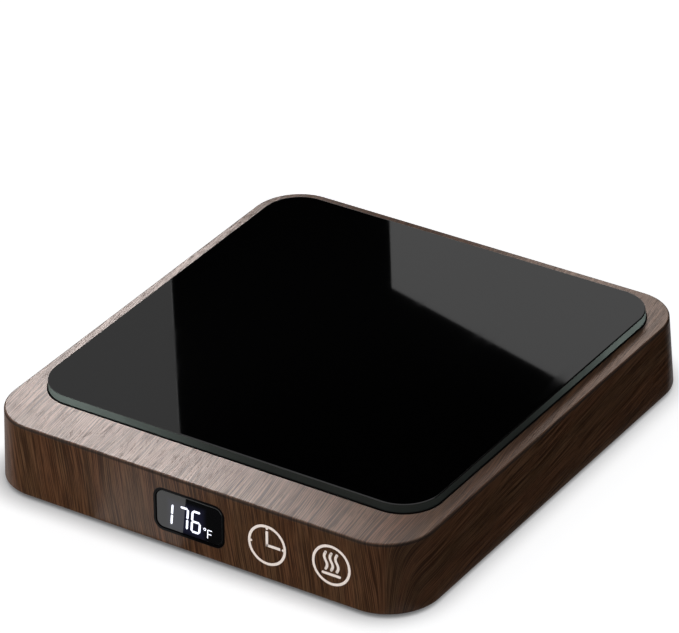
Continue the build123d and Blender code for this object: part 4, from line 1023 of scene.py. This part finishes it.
def make_floor(stage):
    """A wide pale floor that shows white to the camera and keeps the shadow. From below it is
    clear, so that the base can be seen."""
    bm = bmesh.new()
    bmesh.ops.create_grid(bm, x_segments=1, y_segments=1, size=4.0)
    floor, n = stage_sheet("floor", bm)
    where = n.add("TexCoord")["Object"]
    mottle = n.vary(n.noise(where, 30.0, 3.0), 0.0, 0.04)
    matt = n.add("BsdfDiffuse", {"Color": n.mix(mottle, stage.floor, (0.7, 0.7, 0.7))})[0]
    # the normal leans to the right, which makes the contact shadow narrower on that side
    leaning = n.add("CombineXYZ", {"X": 0.37, "Y": 0.0, "Z": 0.93})[0]
    near = n.add("AmbientOcclusion", {"Distance": stage.contact, "Normal": leaning},
                 samples=24)["AO"]
    path = n.add("LightPath")
    mirrored = n.maths("MAXIMUM", path["Is Glossy Ray"], path["Is Transmission Ray"])
    level = n.maths("MULTIPLY_ADD", n.times(path["Is Camera Ray"], n.maths("POWER", near, 1.6)),
                    0.74, n.times(mirrored, 0.12))
    lift = n.add("Emission", {"Color": (1, 1, 1), "Strength": level})[0]
    both = n.add("AddShader", {0: matt, 1: lift})[0]
    below = n.add("NewGeometry")["Backfacing"]
    sided = n.add("MixShader", {0: below, 1: both, 2: n.add("BsdfTransparent")[0]})[0]
    n.add("OutputMaterial", {"Surface": sided})
    floor.visible_shadow = False


def make_world(stage):
    """Even light from all round; the background itself is white, also where it is mirrored or
    shines through."""
    world = bpy.data.worlds.new("studio")
    bpy.context.scene.world = world
    n = NodeSet(emptied(world))
    path = n.add("LightPath")
    seen = n.maths("MAXIMUM", path["Is Camera Ray"],
                   n.maths("MAXIMUM", path["Is Glossy Ray"], path["Is Transmission Ray"]))
    even = n.add("Background", {"Color": (0.97, 0.985, 1.0), "Strength": stage.ambient})[0]
    white = n.add("Background", {"Color": (1, 1, 1), "Strength": 1.0})[0]
    n.add("OutputWorld", {"Surface": n.add("MixShader", {0: seen, 1: even, 2: white})[0]})


def linked(name, members, state):
    """A collection of pieces for a lamp's light linking."""
    made = bpy.data.collections.new(name)
    for each in members:
        made.objects.link(bpy.data.objects[each])
    for member in made.collection_objects:
        member.light_linking.link_state = state
    return made


def make_lamp(name, place, target, size, power, tint=(1.0, 1.0, 1.0), spread=pi, shielded=(),
              unshadowed=(), only=()):
    """A soft rectangular lamp. The shielded pieces don't get its light, the unshadowed ones don't
    stop it, and where only is given, nothing else gets it."""
    data = bpy.data.lights.new(name, "AREA")
    data.shape = "RECTANGLE"
    data.size, data.size_y = size
    data.energy, data.color, data.spread = power, tint, spread
    lamp = link_new(name, data)
    lamp.visible_camera = False
    lamp.location = place
    lamp.rotation_mode = "QUATERNION"
    lamp.rotation_quaternion = (Vector(target) - Vector(place)).to_track_quat("-Z", "Y")
    linking = lamp.light_linking
    if shielded:
        linking.receiver_collection = linked(name + "_shielded", shielded, "EXCLUDE")
    if unshadowed:
        linking.blocker_collection = linked(name + "_unshadowed", unshadowed, "EXCLUDE")
    if only:
        linking.receiver_collection = linked(name + "_only", only, "INCLUDE")
        lamp.visible_glossy = False


def make_card(name, grey, corners):
    """A flat grey card that only mirror-like surfaces see, as a studio flag."""
    bm = bmesh.new()
    bm.faces.new([bm.verts.new(corner) for corner in corners])
    card, n = stage_sheet(name, bm)
    glow = n.add("Emission", {"Color": (grey, grey, grey), "Strength": 1.0})[0]
    n.add("OutputMaterial", {"Surface": glow})
    card.visible_camera = card.visible_diffuse = card.visible_shadow = False
    card.visible_transmission = card.visible_volume_scatter = False


# Upright cards behind the object: name, grey, distance, and (sideways, height) of each corner
UPRIGHT_CARDS = (
    ("dark_card", 0.0, 0.50, ((-0.061, 0.03), (0.90, 0.03), (0.90, 1.30), (-0.066, 1.30))),
    ("left_card", 0.43, 0.50, ((-0.70, 0.03), (-0.0612, 0.03), (-0.0662, 1.30), (-0.70, 1.30))),
    ("back_card", 0.74, 0.49, ((0.02, 0.10), (0.30, 0.10), (0.30, 0.487), (0.091, 0.345),
                               (0.020, 0.296))),
)
# Cards that lie on the floor: name, grey, height, and (x, y) of each corner. The sheets darken
# what the walls and the window mirror, and the window card is mirrored in the window
SHEET_HEIGHT = 0.5 * MM
FLOOR_CARDS = (
    ("front_sheet", 0.0, SHEET_HEIGHT, ((-0.7, -0.0705), (-0.7, -0.6), (0.7, -0.6),
                                        (0.7, -0.0705))),
    ("right_sheet", 0.0, SHEET_HEIGHT, ((0.066, -0.0705), (0.7, -0.0705), (0.7, 0.6),
                                        (0.066, 0.6))),
    ("window_card", 1.1, 2 * SHEET_HEIGHT, ((-0.0034, -0.0706), (-0.030, -0.0706),
                                            (-0.054, -0.108), (-0.0276, -0.108))),
)
# The upright card that the right wall mirrors: its two foot ends, and its low and high edge
RIGHT_CARD_ENDS = ((0.7113, 0.23715), (-0.0285, 0.74925))
RIGHT_CARD_HEIGHTS = (0.001, 0.45)


class MUGWARMER_OT_stage(Operator):
    """Sets out the floor, the lamps, the cards and the camera"""
    bl_idname = "mugwarmer.stage"
    bl_label = "Stage"

    def execute(self, context):
        stage = context.scene.mug_warmer.stage
        make_floor(stage)
        make_world(stage)
        self.set_lamps(stage)
        self.set_cards()
        self.set_camera(context.scene, stage)
        context.scene.view_settings.view_transform = "Standard"
        return {"FINISHED"}

    def set_lamps(self, stage):
        """The key and corner lamps make the sheen on the deck, the fill lamp lights the front
        and left walls, the edge lamps the plate's edge, and the base lamp the underside."""
        plate = ("glass_top", "plate_seal")
        off_glass = (*plate, "window_lens", "floor")
        make_lamp("key", seen_at(0.279, -0.189, 0.322), seen_at(-0.081, -0.189, 0.106),
                  (0.34, 0.34), stage.key, (1.0, 0.905, 0.87), radians(20), off_glass, plate)
        make_lamp("corner", seen_at(0.19, 0.09, 0.115), seen_at(0.0, 0.085, 0.02), (0.07, 0.05),
                  stage.corner, (1.0, 0.80, 0.70), shielded=off_glass)
        make_lamp("front_corner", seen_at(0.074, 0.014, 0.115), seen_at(-0.083, 0.011, 0.021),
                  (0.06, 0.05), stage.corner * 0.2, (1.0, 0.72, 0.60), shielded=off_glass,
                  unshadowed=plate)
        make_lamp("fill", (-0.42, -0.56, 0.28), (-0.03, -0.05, 0.01), (0.4, 0.25), stage.fill,
                  (1.0, 0.97, 0.93), shielded=(*plate, "floor"))
        for name, place, target in (
                ("left_edge", (-0.078, -0.16, 0.06), (-0.048, -0.055, 0.022)),
                ("right_edge", (0.16, 0.082, 0.06), (0.059, 0.054, 0.022))):
            make_lamp(name, place, target, (0.04, 0.03), stage.edges, spread=radians(40),
                      only=("glass_top",))
        make_lamp("base", (0.0, 0.0, -0.6), (0.0, 0.0, 0.0), (0.8, 0.8), stage.base,
                  shielded=("floor", "housing_shell"))

    def set_cards(self):
        """The grey shapes that the glass, the film and the window mirror."""
        for name, grey, distance, outline in UPRIGHT_CARDS:
            make_card(name, grey, [seen_at(distance, *corner) for corner in outline])
        for name, grey, height, outline in FLOOR_CARDS:
            make_card(name, grey, [(*corner, height) for corner in outline])
        (left, right), (low, high) = RIGHT_CARD_ENDS, RIGHT_CARD_HEIGHTS
        make_card("right_card", 0.0, [(*left, low), (*right, low), (*right, high),
                                      (*left, high)])

    def set_camera(self, scene, stage):
        """A long lens from the front right, rolled a little."""
        data = bpy.data.cameras.new("camera")
        data.lens, data.sensor_width = stage.focal, 36.0
        data.clip_start, data.clip_end = 0.05, 50.0
        scene.camera = link_new("camera", data)
        back = Vector((0, 0, sin(ELEVATION))) - AWAY * cos(ELEVATION)
        up = back.cross(SIDEWAYS)
        side = cos(ROLL) * SIDEWAYS + sin(ROLL) * up
        head = -sin(ROLL) * SIDEWAYS + cos(ROLL) * up
        turn = Matrix((side, head, back)).transposed()
        scene.camera.matrix_world = Matrix.Translation(CAMERA_PLACE) @ turn.to_4x4()


class MUGWARMER_PT_panel(Panel):
    """Lists the pieces of the mug warmer"""
    bl_idname = "MUGWARMER_PT_panel"
    bl_label = "Mug Warmer"
    bl_space_type = "VIEW_3D"
    bl_region_type = "UI"
    bl_category = "Mug Warmer"

    def draw(self, context):
        for operator in OPERATORS:
            self.layout.operator(operator.bl_idname)
        settings = context.scene.mug_warmer
        for part in ("film", "glass", "display", "keys", "stage"):
            box = self.layout.box()
            group = getattr(settings, part)
            for name in group.__annotations__:
                box.prop(group, name)


OPERATORS = (
    MUGWARMER_OT_housing, MUGWARMER_OT_glass_plate, MUGWARMER_OT_display, MUGWARMER_OT_touch_keys,
    MUGWARMER_OT_base, MUGWARMER_OT_cord_gland, MUGWARMER_OT_heater, MUGWARMER_OT_electronics,
    MUGWARMER_OT_wiring, MUGWARMER_OT_stage,
)
CLASSES = (
    MUGWARMER_PG_film, MUGWARMER_PG_glass, MUGWARMER_PG_display, MUGWARMER_PG_keys,
    MUGWARMER_PG_stage, MUGWARMER_PG_settings, *OPERATORS, MUGWARMER_PT_panel,
)


def register():
    """Registers the classes and the scene's settings."""
    for each in CLASSES:
        bpy.utils.register_class(each)
    bpy.types.Scene.mug_warmer = PointerProperty(type=MUGWARMER_PG_settings)


def unregister():
    """Takes the settings and the classes away again."""
    del bpy.types.Scene.mug_warmer
    for each in reversed(CLASSES):
        bpy.utils.unregister_class(each)


def main():
    """Builds every piece and the stage."""
    register()
    bpy.ops.mugwarmer.housing()
    bpy.ops.mugwarmer.glass_plate()
    bpy.ops.mugwarmer.display()
    bpy.ops.mugwarmer.touch_keys()
    bpy.ops.mugwarmer.base()
    bpy.ops.mugwarmer.cord_gland()
    bpy.ops.mugwarmer.heater()
    bpy.ops.mugwarmer.electronics()
    bpy.ops.mugwarmer.wiring()
    bpy.ops.mugwarmer.stage()


if __name__ == "__main__":
    main()
